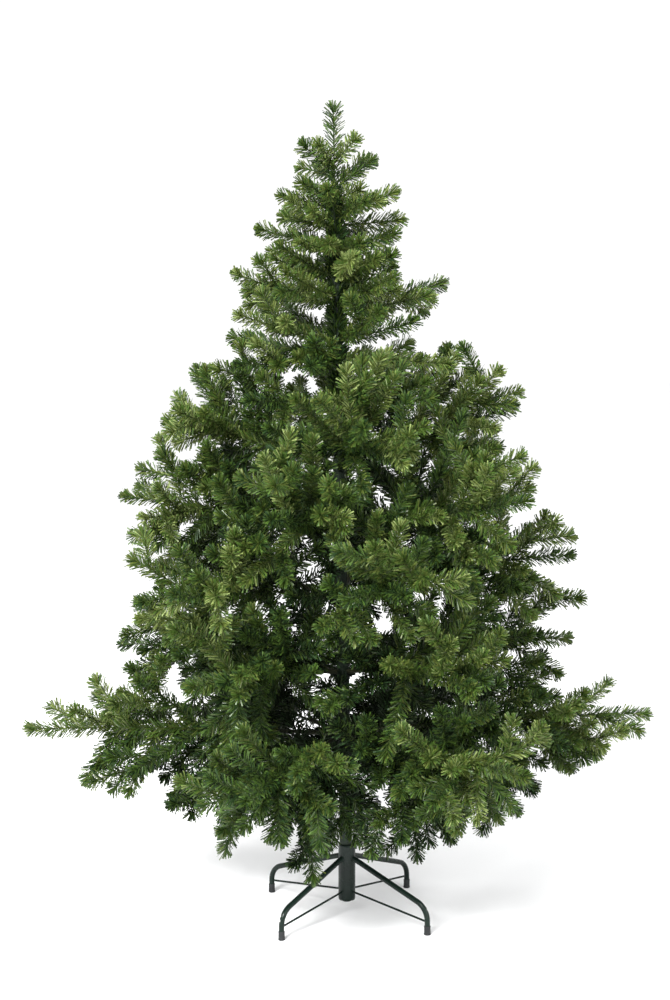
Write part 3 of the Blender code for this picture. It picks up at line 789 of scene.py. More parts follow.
def grown_mesh(name, source, tree, values):
    """The plain mesh that a geometry tree makes of a source mesh."""
    holder = bpy.data.objects.new(name, source)
    bpy.context.scene.collection.objects.link(holder)
    modifier = holder.modifiers.new("Grow", "NODES")
    modifier.node_group = tree
    for item in tree.interface.items_tree:
        if item.in_out == "INPUT" and item.name in values:
            modifier[item.identifier] = values[item.name]
    graph = bpy.context.evaluated_depsgraph_get()
    mesh = bpy.data.meshes.new_from_object(holder.evaluated_get(graph))
    holder.modifiers.clear()
    bpy.data.objects.remove(holder)
    bpy.data.meshes.remove(source)
    for attribute in [a.name for a in mesh.attributes if a.name in PATH_VALUES]:
        mesh.attributes.remove(mesh.attributes[attribute])
    if not mesh.polygons:
        raise RuntimeError(f"{name} came out empty")
    return mesh


def path_mesh(name, paths):
    """Open paths as a mesh of edges; each point is a place and its named values."""
    mesh = bpy.data.meshes.new(name)
    places, edges, values = [], [], {}
    for path in paths:
        first = len(places)
        edges += [(first + k, first + k + 1) for k in range(len(path) - 1)]
        for place, given in path:
            places.append(place)
            for key, value in given.items():
                values.setdefault(key, []).append(value)
    mesh.from_pydata(places, edges, [])
    for key, row in values.items():
        mesh.attributes.new(key, "FLOAT", "POINT").data.foreach_set("value", row)
    return mesh


# --- Materials ----------------------------------------------------------------


def principled(name, colour, roughness, **values):
    made = bpy.data.materials.new(name)
    made.use_nodes = True
    shader = made.node_tree.nodes["Principled BSDF"]
    shader.inputs["Base Color"].default_value = (*colour, 1)
    shader.inputs["Roughness"].default_value = roughness
    for key, value in values.items():
        shader.inputs[key.replace("_", " ")].default_value = value
    return made, made.node_tree, shader


def noise(tree, scale, detail, stretch=(1, 1, 1)):
    """A noise on the piece's own coordinates."""
    place = put(tree, "ShaderNodeTexCoord").outputs["Object"]
    spread = put(tree, "ShaderNodeMapping", Vector=place, Scale=stretch)
    return put(tree, "ShaderNodeTexNoise", Vector=spread.outputs[0], Scale=scale,
               Detail=detail).outputs["Fac"]


def span(tree, value, low, high, to_low=0.0, to_high=1.0):
    """A value's span from low to high, spread over another."""
    return put(tree, "ShaderNodeMapRange", Value=value, From_Min=low, From_Max=high,
               To_Min=to_low, To_Max=to_high).outputs["Result"]


def blend(tree, share, first, second):
    """The first colour turning to the second; each is a colour or a socket."""
    first, second = ((*shade, 1) if isinstance(shade, tuple) else shade
                     for shade in (first, second))
    node = put(tree, "ShaderNodeMix", data_type="RGBA", Factor=share, A=first, B=second)
    return socket_of(node.outputs, "Result")


def tinted(colour, factor):
    return tuple(min(1.0, channel * factor) for channel in colour)


def uneven(tree, shader, shade, roughness, height, strength, depth):
    """Gives a shader its colour, roughness and bump from nodes."""
    bump = put(tree, "ShaderNodeBump", Height=height, Strength=strength, Distance=depth)
    for name, output in (("Base Color", shade), ("Roughness", roughness),
                         ("Normal", bump.outputs[0])):
        tree.links.new(output, shader.inputs[name])


def painted(name, colour, roughness, gloss, patch_colour=None, pale_patches=()):
    """Enamel on steel: orange peel, dulled patches, and pale grey patches at the given spots."""
    made, tree, shader = principled(name, colour, roughness, Specular_IOR_Level=gloss)
    shade = blend(tree, span(tree, noise(tree, 14, 4), 0.35, 0.65), tinted(colour, 0.8),
                  tinted(colour, 1.35))
    if pale_patches:
        # Pale grey patches with ragged edges round the given spots
        ragged = span(tree, noise(tree, 900, 3), 0.3, 0.7, 0.6, 1.5)
        place = put(tree, "ShaderNodeTexCoord").outputs["Object"]
        share = 0.0
        for spot, size in pale_patches:
            away = put(tree, "ShaderNodeVectorMath", place, spot, operation="DISTANCE")
            patch_distance = math_of(tree, "MULTIPLY", away.outputs["Value"], ragged)
            share = math_of(tree, "MAXIMUM", share, span(tree, patch_distance, size, size * 0.8))
        shade = blend(tree, share, shade, patch_colour)
    dulled = span(tree, noise(tree, 45, 5), 0.3, 0.7, roughness - 0.07, roughness + 0.10)
    uneven(tree, shader, shade, dulled, noise(tree, 260, 2), 0.25, 0.00025)
    return made


def moulded_rubber(name, colour):
    """Dull rubber with fine mould grain and dust in its patches."""
    made, tree, shader = principled(name, colour, 0.7, Specular_IOR_Level=0.35)
    dust = span(tree, noise(tree, 60, 5), 0.45, 0.75, 0, 0.5)
    uneven(tree, shader, blend(tree, dust, colour, tinted(colour, 3.0)),
           span(tree, noise(tree, 120, 3), 0.3, 0.7, 0.62, 0.82), noise(tree, 1400, 2),
           0.3, 0.0001)
    return made


def wound_film(name, colour):
    """Film wound on wire: short streaks of light and dark along its turns."""
    made, tree, shader = principled(name, colour, 0.55, Specular_IOR_Level=0.2)
    streaks = noise(tree, 220, 4, (1, 1, 2.5))
    shade = blend(tree, span(tree, streaks, 0.3, 0.7), tinted(colour, 0.55), tinted(colour, 1.7))
    uneven(tree, shader, shade, span(tree, noise(tree, 90, 3), 0.3, 0.7, 0.43, 0.70), streaks,
           0.5, 0.0004)
    return made


# --- Mesh helpers -------------------------------------------------------------


# The angle from which an edge stays sharp, and a plate's chamfer as a share of its thickness
SHARP_EDGE = math.radians(38)
CHAMFER = 0.22


def finished_piece(name, mesh, replaced=(), smooth=True):
    """Puts a mesh in the scene as a piece on the one body, in place of its solids."""
    if smooth:
        mesh.shade_smooth()
        mesh.set_sharp_from_angle(angle=SHARP_EDGE)
    mesh.name = name
    piece = bpy.data.objects.new(name, mesh)
    bpy.context.scene.collection.objects.link(piece)
    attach(piece, "root")
    if replaced:
        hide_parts(*replaced)
    return piece


def put_in_order(elements, key):
    """Gives a mesh's elements, which spheres and bevels leave in any order, a fixed one."""
    ranks = {element: rank for rank, element in enumerate(sorted(elements, key=key))}
    elements.sort(key=ranks.get)
    elements.index_update()


def mesh_of(bm, name, *finishes, matrix=None):
    """Turns a built form into a plain mesh with its faces outward and its finishes on it."""
    if matrix is not None:
        bmesh.ops.transform(bm, matrix=matrix, verts=bm.verts)
    put_in_order(bm.verts, lambda vert: tuple(vert.co))
    for elements in (bm.edges, bm.faces):
        put_in_order(elements, lambda element: sorted(vert.index for vert in element.verts))
    bmesh.ops.recalc_face_normals(bm, faces=bm.faces)
    mesh = bpy.data.meshes.new(name)
    bm.to_mesh(mesh)
    bm.free()
    for finish in finishes:
        mesh.materials.append(finish)
    return mesh


def skin_rings(bm, rings, closed=False):
    """Faces between successive rings of vertices; an open row gets an end cap each side."""
    pairs = list(zip(rings, rings[1:]))
    if closed:
        pairs.append((rings[-1], rings[0]))
    else:
        bm.faces.new(rings[0][::-1])
        bm.faces.new(rings[-1])
    for lower, upper in pairs:
        for i in range(len(lower)):
            j = (i + 1) % len(lower)
            bm.faces.new((lower[i], lower[j], upper[j], upper[i]))


def lathe(bm, profile, sides, centre=Vector(), closed=False, shape=None):
    """A turned form about an upright axis; shape(angle, height) may swell or pinch it."""
    rings = []
    for radius, height in profile:
        ring = []
        for i in range(sides):
            angle = math.tau * i / sides
            reach = radius * (shape(angle, height) if shape else 1)
            ring.append(bm.verts.new(centre + Vector((reach * math.cos(angle),
                                                      reach * math.sin(angle), height))))
        rings.append(ring)
    skin_rings(bm, rings, closed)


def bar(bm, points, radii, sides, twist=0.0, lobes=0, lobe_depth=0.0):
    """A bar through the points; lobes give it the ridges of twisted strands."""
    rings = []
    travelled = 0.0
    along = (points[1] - points[0]).normalized()
    side = along.orthogonal().normalized()
    for k, point in enumerate(points):
        before, after = points[max(k - 1, 0)], points[min(k + 1, len(points) - 1)]
        along = (after - before).normalized()
        side = (side - along * side.dot(along)).normalized()
        up = along.cross(side)
        travelled += (point - points[max(k - 1, 0)]).length
        ring = []
        for i in range(sides):
            angle = math.tau * i / sides
            reach = radii[k] * (1 + lobe_depth * math.cos(lobes * (angle - twist * travelled)))
            spoke = side * math.cos(angle) + up * math.sin(angle)
            ring.append(bm.verts.new(point + reach * spoke))
        rings.append(ring)
    skin_rings(bm, rings)


def place_along(verts, centre, ways, sizes):
    """Sets a unit form at its place, with a size along each of three directions."""
    for vert in verts:
        local = vert.co.copy()
        vert.co = centre + sum((way * local[i] * sizes[i] for i, way in enumerate(ways)),
                               Vector())


def block(bm, centre, ways, sizes):
    """A chamfered plate: its middle, three directions and its full sizes along them."""
    made = bmesh.ops.create_cube(bm, size=1)["verts"]
    place_along(made, centre, ways, sizes)
    edges = list({edge for vert in made for edge in vert.link_edges})
    bmesh.ops.bevel(bm, geom=edges, offset=min(sizes) * CHAMFER, segments=2, profile=0.5,
                    affect="EDGES")


# --- Stand --------------------------------------------------------------------


# Radius of the small disc that closes a turned end
HUB = 0.0015

# The socket's closed foot: share of the outer radius, metres above its low end; its plain
# wall starts and ends this far from the ends, in so many steps; and the folds of its foot
SOCKET_SIDES = 72
SOCKET_FOOT = ((0.55, 0.0012), (0.86, 0.0), (0.97, 0.0012), (1.0, 0.004))
SOCKET_PLAIN = 0.008
SOCKET_STEPS = 6
CRIMPS = 4
CRIMP_DEPTH = 0.24
CRIMP_HEIGHT = 0.007

# Sides and steps of the tubes, and how deep their ends stand in what they are welded to
LEG = dict(sides=24, bend_steps=14, slope_steps=4, in_socket=0.0012)
BRACE = dict(sides=14, steps=8, in_leg=0.0008, in_socket=0.0005)

# Weld beads: thickness in weld radii, then width and height in the tube's radii
LEG_WELD = dict(sizes=(1.0, 1.12, 1.28), out=-0.0006, rings=10, sides=16)
BRACE_WELD = dict(sizes=(0.9, 1.45, 1.4), out=0.0006, rings=8, sides=12)

# A cap's outside, in shares of its radius, up to its lip, which is measured from its top
CAP_SIDES = 32
CAP_HUB = 0.0008
CAP_LOW = ((0.86, 0.0), (0.97, 0.0006), (1.0, 0.0016), (0.995, 0.0034), (0.955, 0.0046),
           (0.945, 0.0062))
CAP_LIP = ((0.935, 0.0040), (0.955, 0.0028), (0.955, 0.0010), (0.93, 0.0003), (0.90, 0.0))


def socket_shape(angle, height):
    """The tube's lower end is pressed in to close it, in as many folds as there are legs."""
    pinch = max(0.0, 1 - (height - SOCKET_LOW) / CRIMP_HEIGHT)
    fold = 0.5 - 0.5 * math.cos(CRIMPS * angle)
    return 1 - CRIMP_DEPTH * pinch * pinch * (0.35 + 0.65 * fold ** 3)


def stand_finish(settings):
    """The enamel that the socket, legs and braces share."""
    return bpy.data.materials.get("stand_enamel") or painted(
        "stand_enamel", tuple(settings.steel), 0.24, 0.17, tuple(settings.bare_steel),
        leg_pale_patches(settings.leg_radius))


def on_leg(number, out, height, sideways=0.0):
    """A point beside a leg: distance from the stand's axis, height and offset across."""
    turn = STAND_TURN + FIRST_PLACE + math.pi / 2 * number
    return Vector((out * math.cos(turn) - sideways * math.sin(turn),
                   out * math.sin(turn) + sideways * math.cos(turn), height))


def leg_pale_patches(radius):
    """Where pale grey patches sit on the front legs' bends, with the patches' sizes."""
    return (
        (on_leg(0, FOOT_CIRCLE - 0.0035 + radius * 0.7, 0.052, -radius * 0.6), 0.0030),
        (on_leg(0, FOOT_CIRCLE - 0.0005 + radius * 0.8, 0.043, -radius * 0.5), 0.0034),
        (on_leg(1, FOOT_CIRCLE - 0.0045 + radius * 0.7, 0.056, radius * 0.6), 0.0034),
    )


def leg_profile(radius):
    """A leg's middle line from the floor to the socket: distance from the axis, height."""
    line = [(FOOT_CIRCLE, CAP_FLOOR + GAP), (FOOT_CIRCLE, LEG_BEND_LOW * 0.6)]
    for k in range(LEG["bend_steps"] + 1):
        angle = (math.pi / 2 - LEG_SLOPE) * k / LEG["bend_steps"]
        line.append((FOOT_CIRCLE - LEG_BEND_RADIUS * (1 - math.cos(angle)),
                     LEG_BEND_LOW + LEG_BEND_RADIUS * math.sin(angle)))
    out, height = line[-1]
    inner = SOCKET_RADIUS + radius * math.sin(LEG_SLOPE) - LEG["in_socket"]
    for k in range(1, LEG["slope_steps"] + 1):
        step = out + (inner - out) * k / LEG["slope_steps"]
        line.append((step, height + (out - step) * math.tan(LEG_SLOPE)))
    return line


def weld_bead(bm, number, place, radius, weld, rule):
    """A flattened drop of weld where a tube of this radius ends."""
    outward, across = on_leg(number, 1, 0), on_leg(number, 0, 0, 1)
    thick, wide, high = rule["sizes"]
    sizes = (weld * thick, radius * wide, radius * high)
    made = bmesh.ops.create_uvsphere(bm, u_segments=rule["sides"], v_segments=rule["rings"],
                                     radius=1)["verts"]
    place_along(made, place, (outward, across, UP), sizes)


class TREE_OT_socket(Operator):
    """Make the stand's upright tube, crimped at its foot and rolled at its rim"""
    bl_idname = "tree.socket"
    bl_label = "Stand socket"

    def execute(self, context):
        low, high, outer, bore = SOCKET_LOW, SOCKET_HIGH, SOCKET_RADIUS, SOCKET_BORE
        floor = low + SOCKET_FLOOR
        profile = [(HUB, low + 0.0022)]
        profile += [(outer * share, low + height) for share, height in SOCKET_FOOT]
        plain = high - low - 2 * SOCKET_PLAIN
        profile += [(outer, low + SOCKET_PLAIN + plain * k / SOCKET_STEPS)
                    for k in range(SOCKET_STEPS + 1)]
        profile += [(outer, high - 0.0012), (outer - 0.0005, high - 0.0003),
                    ((outer + bore) / 2, high), (bore + 0.0004, high - 0.0003),
                    (bore, high - 0.0012), (bore, floor + 0.001), (bore - 0.002, floor),
                    (HUB, floor)]
        bm = bmesh.new()
        lathe(bm, profile, SOCKET_SIDES, shape=socket_shape)
        mesh = mesh_of(bm, "socket_tube", stand_finish(context.scene.tree_stand))
        finished_piece("socket_tube", mesh, ["stand_socket"])
        return {"FINISHED"}


class TREE_OT_legs(Operator):
    """Bend the four legs, weld them and their braces to the socket"""
    bl_idname = "tree.legs"
    bl_label = "Stand legs and braces"

    def execute(self, context):
        settings = context.scene.tree_stand
        radius, thin, weld = settings.leg_radius, settings.brace_radius, settings.weld_radius
        profile = leg_profile(radius)
        legs, braces = bmesh.new(), bmesh.new()
        for number in range(len(PLACES)):
            points = [on_leg(number, out, height) for out, height in profile]
            bar(legs, points, [radius] * len(points), LEG["sides"])
            foot = on_leg(number, SOCKET_RADIUS + LEG_WELD["out"], profile[-1][1])
            weld_bead(legs, number, foot, radius, weld, LEG_WELD)
            start = on_leg(number, FOOT_CIRCLE - radius + BRACE["in_leg"], BRACE_AT_LEG)
            end = on_leg(number, SOCKET_RADIUS - BRACE["in_socket"], BRACE_AT_SOCKET)
            steps = BRACE["steps"]
            bar(braces, [start.lerp(end, k / steps) for k in range(steps + 1)],
                [thin] * (steps + 1), BRACE["sides"])
            outward = on_leg(number, BRACE_WELD["out"], 0)
            for place in (start - outward, end + outward):
                weld_bead(braces, number, place, thin, weld, BRACE_WELD)
        enamel = stand_finish(settings)
        for bm, kind in ((legs, "leg"), (braces, "brace")):
            mesh = mesh_of(bm, f"stand_{kind}s", enamel)
            finished_piece(f"stand_{kind}s", mesh,
                           [f"{kind}_{place}" for place in PLACES])
        return {"FINISHED"}


class TREE_OT_caps(Operator):
    """Mould the four rubber caps that the stand rests on"""
    bl_idname = "tree.caps"
    bl_label = "Rubber caps"

    def execute(self, context):
        settings = context.scene.tree_stand
        wide, top = settings.cap_radius, CAP_HEIGHT
        bore = settings.leg_radius + GAP / 2
        profile = [(CAP_HUB, 0.0)]
        profile += [(wide * share, height) for share, height in CAP_LOW]
        profile += [(wide * share, top - down) for share, down in CAP_LIP]
        profile += [(bore + 0.0003, top), (bore, top - 0.0004), (bore, CAP_FLOOR),
                    (CAP_HUB, CAP_FLOOR)]
        bm = bmesh.new()
        for number in range(len(PLACES)):
            lathe(bm, profile, CAP_SIDES, on_leg(number, FOOT_CIRCLE, 0))
        mesh = mesh_of(bm, "rubber_caps", moulded_rubber("cap_rubber", tuple(settings.rubber)))
        finished_piece("rubber_caps", mesh, [f"foot_{place}" for place in PLACES])
        return {"FINISHED"}


# --- Pole, hinges and wires ---------------------------------------------------


POLE_SIDES = 40
POLE_END = 0.001
POLE_HUB = 0.002

# A section's swaged end: metres above it, share of the radius
SWAGE = ((-0.020, 1), (-0.017, 1.03), (-0.013, 1.03), (-0.010, 1), (-0.002, 1))

# A hinge's collar, from its edge to its face: metres out from the pole, metres in from the edge
COLLAR = ((-0.0004, 0.0), (0.0012, 0.0), (0.0020, 0.0008))

# Its cheek plates and pin: where they begin and end, measured from the pole and from its
# ring, the plates' height, and the pin's place, its reach in plate thicknesses and its radius
HINGE = dict(near=0.0010, beyond=0.007, height=0.015, pin_in=0.004, pin_reach=0.9,
             pin_radius=0.0014, pin_sides=12)
ROD = dict(from_pole=0.0045, in_mass=0.02, step=0.0035, least_steps=8, sides=12, twist=260,
           lobes=3, lobe_depth=0.10)
WIRE = dict(steps=5, stem_steps=10, sides=3, stem_thicker=1.5)


def pole_profile():
    low = SOCKET_LOW + SOCKET_FLOOR + GAP + POLE_SECTIONS[0][1] * math.sin(POLE_LEAN)
    thickest = POLE_SECTIONS[0][1]
    profile = [(POLE_HUB, low), (thickest - POLE_END, low), (thickest, low + POLE_END)]
    for (top, radius), (_, thin) in zip(POLE_SECTIONS, POLE_SECTIONS[1:]):
        profile += [(radius * swell, top + above) for above, swell in SWAGE]
        profile += [(radius - 0.0006, top), (thin + 0.0003, top + 0.0002), (thin, top + 0.001)]
    top, radius = POLE_SECTIONS[-1]
    return profile + [(radius, top - POLE_END), (radius - POLE_END, top), (POLE_HUB, top)]


def add_collar(bm, height):
    """The collar round the pole that a tier's boughs are hinged to."""
    radius, half = pole_radius(height), HINGE_RING_HEIGHT / 2
    lower = [(radius + out, height - half + inward) for out, inward in COLLAR]
    upper = [(radius + out, height + half - inward) for out, inward in reversed(COLLAR)]
    lathe(bm, lower + upper, POLE_SIDES, closed=True)


def add_hinge(bm, bough, settings):
    """The two cheek plates and the pin that hold a bough's rod."""
    outward = way_of(bough.bearing, 0)
    across = UP.cross(outward)
    radius = pole_radius(bough.height)
    near, far = radius + HINGE["near"], radius + HINGE_RING_PROUD + HINGE["beyond"]
    spread = settings.rod_root + settings.plate
    for side in (-1, 1):
        middle = outward * (near + far) / 2 + across * side * spread + UP * bough.height
        block(bm, middle, (outward, across, UP), (far - near, settings.plate, HINGE["height"]))
    pin = outward * (far - HINGE["pin_in"]) + UP * bough.height
    half = across * (spread + settings.plate * HINGE["pin_reach"])
    bar(bm, [pin - half, pin + half], [HINGE["pin_radius"]] * 2, HINGE["pin_sides"])


class TREE_OT_pole(Operator):
    """Turn the three-part pole with its swaged joints, and fit the hinge collars"""
    bl_idname = "tree.pole"
    bl_label = "Pole and hinges"

    def execute(self, context):
        settings = context.scene.tree_pole
        paint = painted("pole_paint", tuple(settings.paint), 0.62, 0.25)
        bm = bmesh.new()
        lathe(bm, pole_profile(), POLE_SIDES)
        mesh = mesh_of(bm, "pole", paint, matrix=pole_axis())
        finished_piece("pole", mesh, ["trunk"])
        bm = bmesh.new()
        for tier in TIERS:
            add_collar(bm, tier["height"])
        for bough in grown_tree()[0]:
            add_hinge(bm, bough, settings)
        mesh = mesh_of(bm, "hinges", paint, matrix=pole_axis())
        finished_piece("hinges", mesh)
        return {"FINISHED"}


class TREE_OT_rods(Operator):
    """Wind the bough rods that run from the hinges into the needles"""
    bl_idname = "tree.rods"
    bl_label = "Bough rods"

    def execute(self, context):
        settings = context.scene.tree_pole
        boughs, _ = grown_tree()
        bm = bmesh.new()
        for bough in boughs:
            first = (pole_radius(bough.height) + ROD["from_pole"]) / bough.reach
            last = bough.clear + ROD["in_mass"] / bough.reach
            count = max(ROD["least_steps"], round((last - first) * bough.reach / ROD["step"]))
            points = [bough.at(first + (last - first) * k / count) for k in range(count + 1)]
            radii = [settings.rod_root + (settings.rod_tip - settings.rod_root) * k / count
                     for k in range(count + 1)]
            bar(bm, points, radii, ROD["sides"], ROD["twist"], ROD["lobes"], ROD["lobe_depth"])
        film = wound_film("rod_film", tuple(settings.wrap))
        mesh = mesh_of(bm, "bough_rods", film, matrix=pole_axis())
        finished_piece("bough_rods", mesh,
                       [f"bough_{bough.name}" for bough in boughs if bough.hinged])
        return {"FINISHED"}


class TREE_OT_wires(Operator):
    """Run the twisted wires of all stems and twigs"""
    bl_idname = "tree.wires"
    bl_label = "Twig wires"

    def execute(self, context):
        settings = context.scene.tree_needles
        lean = pole_axis()
        paths = []
        for spray in grown_tree()[1]:
            steps = WIRE["steps"] if spray.level else WIRE["stem_steps"]
            thicker = 1.0 if spray.level else WIRE["stem_thicker"]
            end = wire_end(spray)
            path = []
            for share in [k / steps for k in range(steps + 1)]:
                radius = settings.wire_root + (settings.wire_tip - settings.wire_root) * share
                path.append((lean @ spray.place(end * share),
                             {"thickness": radius * (thicker + (1 - thicker) * share)}))
            paths.append(path)
        film = wound_film("wire_film", tuple(settings.wire))
        mesh = grown_mesh("twig_wires", path_mesh("wire_paths", paths), wire_tree(),
                          {"Sides": WIRE["sides"], "Finish": film})
        finished_piece("twig_wires", mesh)
        return {"FINISHED"}


# --- Needles ------------------------------------------------------------------


# Metres by which the last needles reach past the wire, and of a twig's bare root
NEEDLE_FORWARD = 0.024
BRUSH_ROOT = 0.010
BRUSH_GIRTH = (0.88, 1.04)

# Along a brush, from its bare root to its tuft: share, needle size, how far it fans out
BRUSH_PROFILE = ((0.0, 0.70, 1.0), (0.05, 0.85, 1.0), (0.14, 0.97, 1.0), (0.30, 1.0, 1.0),
                 (0.55, 1.0, 1.0), (0.80, 1.0, 1.0), (0.92, 0.96, 0.98), (1.0, 0.86, 0.80))

# The tuft at a brush's end: metres before the wire's end, needle size, how far it fans out;
# its strands of needles, and how far out in the crown it has them all
TUFT_PROFILE = ((0.009, 0.88, 0.92), (0.005, 0.82, 0.66), (0.002, 0.78, 0.38), (0.0, 0.76, 0.05))
TUFT_STRANDS = 2
TUFTED_FROM = 0.5

# The crown narrows evenly upward: its reach at its foot, the height of its point, how high
# it is from foot to point, and the least reach, on the top section
CROWN = dict(breadth=0.60, above=1.85, height=1.45, least=0.12)

# How densely needles stand, from inside outward between two shares of the crown's breadth;
# the least on the top section; and the height below which the hanging ones show, and how
# far below it they are closest
DENSITY = dict(inside=0.50, outside=1.0, shares=(0.22, 0.70), top=0.85, hung=0.42,
               hung_full=0.12)

# A spray's green, as painted shade and painted light: darker near the pole where shade falls,
# paler further out and higher up where light falls. Where along it is judged, its steps in the
# list from the pole outward, the first one, how far it strays, and the height above which it
# gets painted light, and how fast
GREEN = dict(judged=0.6, steps=3.7, first=-0.5, stray=1.0, painted_light_above=1.05, lift=0.7)

# Roughness and gloss of each green's film, duller near the pole
NEEDLE_FINISH = ((0.60, 0.08), (0.48, 0.16), (0.38, 0.28), (0.38, 0.28), (0.38, 0.28),
                 (0.38, 0.28))

# The needle pieces, each with the masses that it stands for
NEEDLE_PIECES = {
    "needles_skirt_left": ("skirt_1", "skirt_6"),
    "needles_skirt_front": ("skirt_2", "skirt_3"),
    "needles_skirt_right": ("skirt_4", "skirt_5"),
    "needles_low": ("low_1", "low_2", "low_3", "low_4", "low_5"),
    "needles_middle": ("middle_1", "middle_2", "middle_3", "middle_4", "middle_5"),
    "needles_upper": ("upper_1", "upper_2", "upper_3", "upper_4", "upper_5"),
    "needles_high": ("high_1", "high_2", "high_3", "high_4"),
    "needles_top": ("whorl_1", "whorl_2"),
    "needles_crest": ("whorl_3", "whorl_4", "leader"),
}
MOST_TRIANGLES = 199000

# Needles wound straight onto the pole's top section: the lengths of it in each piece
POLE_BRUSHES = {"needles_top": (1.11, 1.38), "needles_crest": (1.38, 1.60)}
POLE_BRUSH = {"reach": 1.15, "fan": 1.0, "green": 1.5, "density": 1.0}
POLE_STRANDS = 3


def wire_end(spray):
    """The share of a spray's length where its wire stops and only needles go on."""
    return 1 - NEEDLE_FORWARD / spray.length()


def needle_shape(settings):
    """A slip of film: a narrow edge at the wire and a wider one, turned a quarter, at its end."""
    root, tip, length = settings.root / 2, settings.tip / 2, settings.length
    bm = bmesh.new()
    corners = [bm.verts.new(place) for place in ((0, -root, 0), (0, root, 0), (-tip, 0, length),
                                                 (tip, 0, length))]
    for missing in corners:
        bm.faces.new([corner for corner in corners if corner is not missing])
    needle = bpy.data.objects.new("needle", mesh_of(bm, "needle"))
    bpy.context.scene.collection.objects.link(needle)
    return needle


def depth_share(place):
    """How far out in the crown a place is, from 0 at the pole to 1 at the outline."""
    breadth = CROWN["breadth"] * (CROWN["above"] - place.z) / CROWN["height"]
    return math.hypot(place.x, place.y) / max(CROWN["least"], breadth)


def green_of(spray):
    """A spray's place in the list of greens: painted shade near the pole, painted light further
    out and higher up.
    """
    rng = random.Random(f"{spray.key}-green")
    middle = spray.place(GREEN["judged"])
    # Painted shade and light: darker the nearer the pole, paler the further out and the higher up
    painted_lightness = depth_share(middle) + GREEN["lift"] * max(0.0, middle.z - GREEN["painted_light_above"])
    return GREEN["steps"] * min(1.0, painted_lightness) + GREEN["first"] + stray_by(rng, GREEN["stray"])


def density_at(place, on_top):
    """The share of the closest needles that stand here: fewer where the crown hides them."""
    low, high = DENSITY["shares"]
    hung = (DENSITY["hung"] - place.z) / DENSITY["hung_full"]
    share = min(1.0, max(0.0, (depth_share(place) - low) / (high - low), hung))
    density = DENSITY["inside"] + (DENSITY["outside"] - DENSITY["inside"]) * share
    return max(density, DENSITY["top"]) if on_top else density


def brush_paths(spray, lean, on_top):
    """The lines along which a spray's needles are set: its brush, and its tuft's strands."""
    length = spray.length()
    first, last = BRUSH_ROOT / length if spray.level else 0, wire_end(spray)
    green = green_of(spray)
    girth = random.Random(f"{spray.key}-girth").uniform(*BRUSH_GIRTH)
    brush = [(first + (last - first) * share, size, fan) for share, size, fan in BRUSH_PROFILE]
    tuft = [(last - before / length, size, fan) for before, size, fan in TUFT_PROFILE]
    strands = TUFT_STRANDS if depth_share(spray.place(last)) > TUFTED_FROM else 1
    paths = []
    for stations in [brush] + [tuft] * strands:
        paths.append([])
        for share, size, fan in stations:
            place = spray.place(share)
            paths[-1].append((lean @ place, {"reach": size * girth, "fan": fan, "green": green,
                                             "density": density_at(place, on_top)}))
    return paths


class TREE_OT_needles(Operator):
    """Set the needles on every stem and twig, in pieces by tier"""
    bl_idname = "tree.needles"
    bl_label = "Needle brushes"

    def execute(self, context):
        settings = context.scene.tree_needles
        greens = []
        for name, (roughness, gloss) in zip(GreenSettings.__annotations__, NEEDLE_FINISH):
            colour = tuple(getattr(context.scene.tree_greens, name))
            greens.append(principled(f"needle_{name}", colour, roughness,
                                     Specular_IOR_Level=gloss)[0])
        lean = pole_axis()
        needle = needle_shape(settings)
        tree = brush_tree(greens)
        values = {"Needle": needle, "Spacing": settings.spacing, "Slant": settings.slant,
                  "Slant Spread": settings.spread, "Least Size": settings.least,
                  "Tint Spread": settings.tint, "Seed": settings.seed}
        values.update({green.name: green for green in greens})
        for name, masses in NEEDLE_PIECES.items():
            paths = []
            for spray in grown_tree()[1]:
                if spray.mass in masses:
                    paths += brush_paths(spray, lean, name in POLE_BRUSHES)
            if name in POLE_BRUSHES:
                paths += POLE_STRANDS * [[(lean @ Vector((0, 0, height)), POLE_BRUSH)
                                          for height in POLE_BRUSHES[name]]]
            mesh = grown_mesh(name, path_mesh(f"{name}_paths", paths), tree, values)
            if len(mesh.polygons) > MOST_TRIANGLES:
                raise RuntimeError(f"{name} has {len(mesh.polygons)} triangles")
            finished_piece(name, mesh, [f"mass_{mass}" for mass in masses],
                           smooth=False)
        bpy.data.objects.remove(needle)
        return {"FINISHED"}


# --- Stage --------------------------------------------------------------------


FLOOR_SIZE = 30
AIM = Vector((0, 0, 0.8))

# The soft lights' places and sizes; each has its power in the stage's settings
LAMPS = {"key": ((-1.9, -3.9, 3.7), 1.8), "fill": ((3.2, -3.0, 2.2), 2.4)}

CAMERA_PLACE = (-0.0266, -3.828, 1.346)
CAMERA_PITCH = math.radians(6.15)
CAMERA_LENS = 63.2


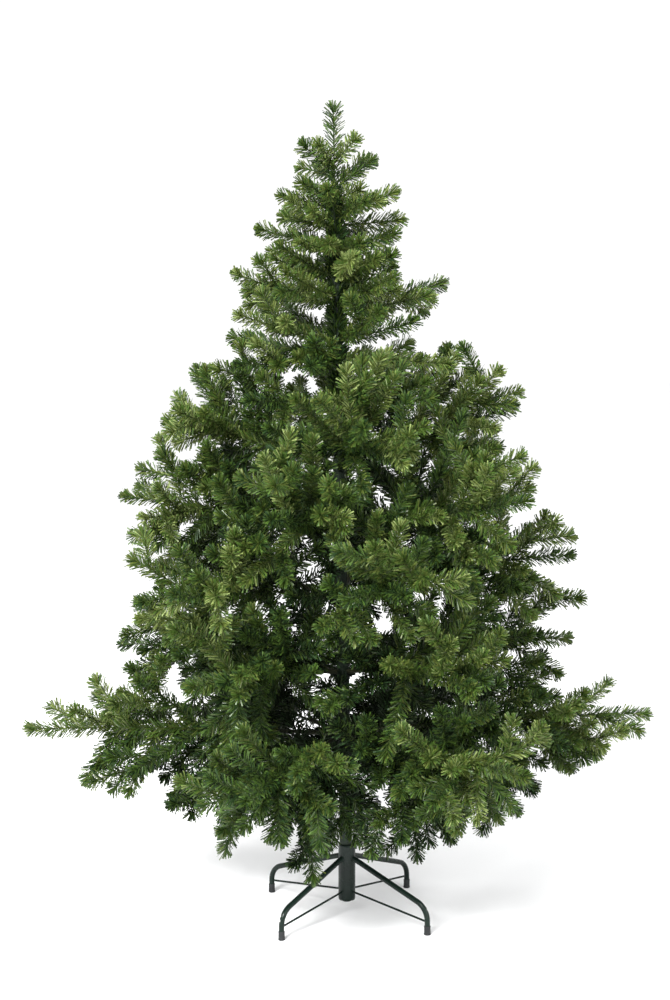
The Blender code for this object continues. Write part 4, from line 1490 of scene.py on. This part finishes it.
class TREE_OT_stage(Operator):
    """Lay the pale floor and set the soft lights and the camera"""
    bl_idname = "tree.stage"
    bl_label = "Stage"

    def execute(self, context):
        settings = context.scene.tree_stage
        scene = context.scene
        scene.view_settings.view_transform = "Standard"
        bm = bmesh.new()
        bmesh.ops.create_grid(bm, x_segments=1, y_segments=1, size=FLOOR_SIZE)
        finish = principled("studio_floor", tuple(settings.floor), 0.85)[0]
        floor = bpy.data.objects.new("floor", mesh_of(bm, "floor", finish))
        scene.collection.objects.link(floor)
        world = bpy.data.worlds.new("studio")
        world.use_nodes = True
        surround = world.node_tree.nodes["Background"].inputs
        surround["Color"].default_value = (1, 1, 1, 1)
        surround["Strength"].default_value = settings.sky
        scene.world = world
        for name, (place, size) in LAMPS.items():
            lamp = bpy.data.lights.new(name, "AREA")
            lamp.size = size
            lamp.energy = getattr(settings, name)
            light = bpy.data.objects.new(name, lamp)
            light.location = place
            light.rotation_euler = (AIM - Vector(place)).to_track_quat("-Z", "Y").to_euler()
            scene.collection.objects.link(light)
        camera = bpy.data.objects.new("camera", bpy.data.cameras.new("camera"))
        camera.data.lens = CAMERA_LENS
        camera.location = CAMERA_PLACE
        camera.rotation_euler = (math.pi / 2 - CAMERA_PITCH, 0, 0)
        scene.collection.objects.link(camera)
        scene.camera = camera
        return {"FINISHED"}


# --- Panel and registration ---------------------------------------------------


OPERATORS = (TREE_OT_stage, TREE_OT_socket, TREE_OT_legs, TREE_OT_caps, TREE_OT_pole, TREE_OT_rods,
             TREE_OT_wires, TREE_OT_needles)


class TREE_PT_panel(Panel):
    """Lists the tree's pieces and their settings"""
    bl_idname = "TREE_PT_panel"
    bl_label = "Christmas tree"
    bl_space_type = "VIEW_3D"
    bl_region_type = "UI"
    bl_category = "Tree"

    def draw(self, context):
        for operator in OPERATORS:
            self.layout.operator(operator.bl_idname)
        for name, group in SETTINGS.items():
            box = self.layout.box()
            box.label(text=name.replace("_", " ").capitalize())
            for field in group.__annotations__:
                box.prop(getattr(context.scene, name), field)


def register():
    for group in SETTINGS.values():
        bpy.utils.register_class(group)
    for name, group in SETTINGS.items():
        setattr(bpy.types.Scene, name, PointerProperty(type=group))
    for operator in OPERATORS:
        bpy.utils.register_class(operator)
    bpy.utils.register_class(TREE_PT_panel)


def unregister():
    bpy.utils.unregister_class(TREE_PT_panel)
    for operator in reversed(OPERATORS):
        bpy.utils.unregister_class(operator)
    for name in SETTINGS:
        delattr(bpy.types.Scene, name)
    for group in reversed(SETTINGS.values()):
        bpy.utils.unregister_class(group)


def main():
    register()
    bpy.ops.tree.stage()
    bpy.ops.tree.socket()
    bpy.ops.tree.legs()
    bpy.ops.tree.caps()
    bpy.ops.tree.pole()
    bpy.ops.tree.rods()
    bpy.ops.tree.wires()
    bpy.ops.tree.needles()


if __name__ == "__main__":
    main()
